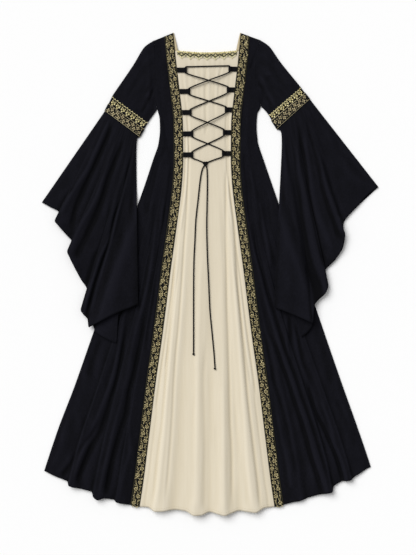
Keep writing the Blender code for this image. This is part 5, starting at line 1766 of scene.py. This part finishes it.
def smooth_route(points, steps):
    """A smooth curve through a cord's points, which turns within the shorter run beside each point."""
    points = np.asarray(points, float)
    spans = np.linalg.norm(np.diff(points, axis=0), axis=1)
    slopes = np.zeros_like(points)
    slopes[0] = (points[1] - points[0]) / spans[0]
    slopes[-1] = (points[-1] - points[-2]) / spans[-1]
    slopes[1:-1] = (points[2:] - points[:-2]) / (spans[:-1] + spans[1:])[:, None]
    curve = []
    for i, span in enumerate(spans):
        for t in np.arange(steps) / steps:
            ends = points[i] * (1 + 2 * t) * (1 - t) ** 2 + points[i + 1] * t * t * (3 - 2 * t)
            turns = slopes[i] * span * t * (1 - t) ** 2 + slopes[i + 1] * span * t * t * (t - 1)
            curve.append(ends + turns)
    curve.append(points[-1])
    return np.array(curve)


def cord_rest(x, y, over=0.0):
    """A point of a cord that lies on the centre front."""
    level = top_of(centre_tree, x, y, LACE_DIAMETER / 2) + CORD_REST + LACE_DIAMETER / 2
    return np.array([x, y, level + over])


def knot_path(centre, scale, flat, turn=0.0, count=60):
    """The path of an overhand knot that has been drawn tight, as a closed line."""
    t = np.linspace(0, 2 * math.pi, count + 1)[:-1]
    x = (np.sin(t) + 2 * np.sin(2 * t)) * scale[0]
    y = (np.cos(t) - 2 * np.cos(2 * t)) * scale[1]
    spun = np.stack([x * math.cos(turn) - y * math.sin(turn), x * math.sin(turn) + y * math.cos(turn),
                     -np.sin(3 * t) * flat], 1)
    return centre + spun


def make_lacing():
    out = LOOP_WIDTH / 2 + 1.5
    knot = cord_rest(*KNOT_AT)
    order = [("left", 4), ("right", 3), ("left", 2), ("right", 1), ("left", 0)]
    half_up = [(side, row, 1) for side, row in order]
    half_down = [("right" if side == "left" else "left", row, -1) for side, row in reversed(order)]
    route = [knot + (-7, 4, 0.4)]
    last = None
    for side, row, way in half_up + half_down:
        eye = loop_eyes[side][row]
        enter = eye + (0, -out * way, 0)
        if last is None:
            route.append(cord_rest(*((route[0] + enter) / 2)[:2]))
        elif last[1] != row:
            over = LACE_DIAMETER + GAP + 0.5 if (way == 1) == (row % 2 == 0) else 0.0
            route.append(cord_rest(*((route[-1] + enter) / 2)[:2], over))
        else:
            for share in (0.12, 0.5, 0.88):
                x = mix(loop_eyes["left"][0][0], loop_eyes["right"][0][0], share)
                route.append(cord_rest(x, TOP_RUN_Y + 3 * share))
        route.extend([enter, eye, eye + (0, out * way, 0)])
        last = (side, row)
    end = knot + (7, 4, 0.4)
    route.append(cord_rest(*((route[-1] + end) / 2)[:2]))
    route.append(end)
    laced = smooth_route(route, 9)
    for spot in laced:
        spot[2] = max(spot[2], cord_rest(spot[0], spot[1])[2])
    laced[1:-1, 2] = (laced[:-2, 2] + laced[1:-1, 2] * 2 + laced[2:, 2]) / 4
    stand_for(add_cord("lacing_cord", laced), "black_cord", "lacing")
    bow = add_cord("lacing_bow_knot", knot_path(knot + (0, 0, KNOT_RISE + 0.4), (2.2, 1.9), 1.5),
                   2.5, closed=True)
    stand_for(bow, "black_cord", "lacing_knot")
    for side, table in TAILS.items():
        course = smooth_route([cord_rest(x, y) for x, y in table], 9)
        for spot in course:
            spot[2] = cord_rest(spot[0], spot[1])[2]
        course[1:-1, 2] = (course[:-2, 2] + course[1:-1, 2] * 2 + course[2:, 2]) / 4
        tail = add_cord(f"lacing_tail_{side}", course)
        stand_for(tail, "black_cord", f"tail_{side}")
        tip = course[-1] + (0, -GAP - TAIL_KNOT_HALF, TAIL_KNOT_RISE - 0.4)
        knotted = add_cord(f"lacing_tail_knot_{side}", knot_path(tip, (0.75, 0.95), 1.4, 0.5),
                           LACE_DIAMETER / 2 * 0.8, closed=True)
        stand_for(knotted, "black_cord", f"tail_knot_{side}")


make_lacing()
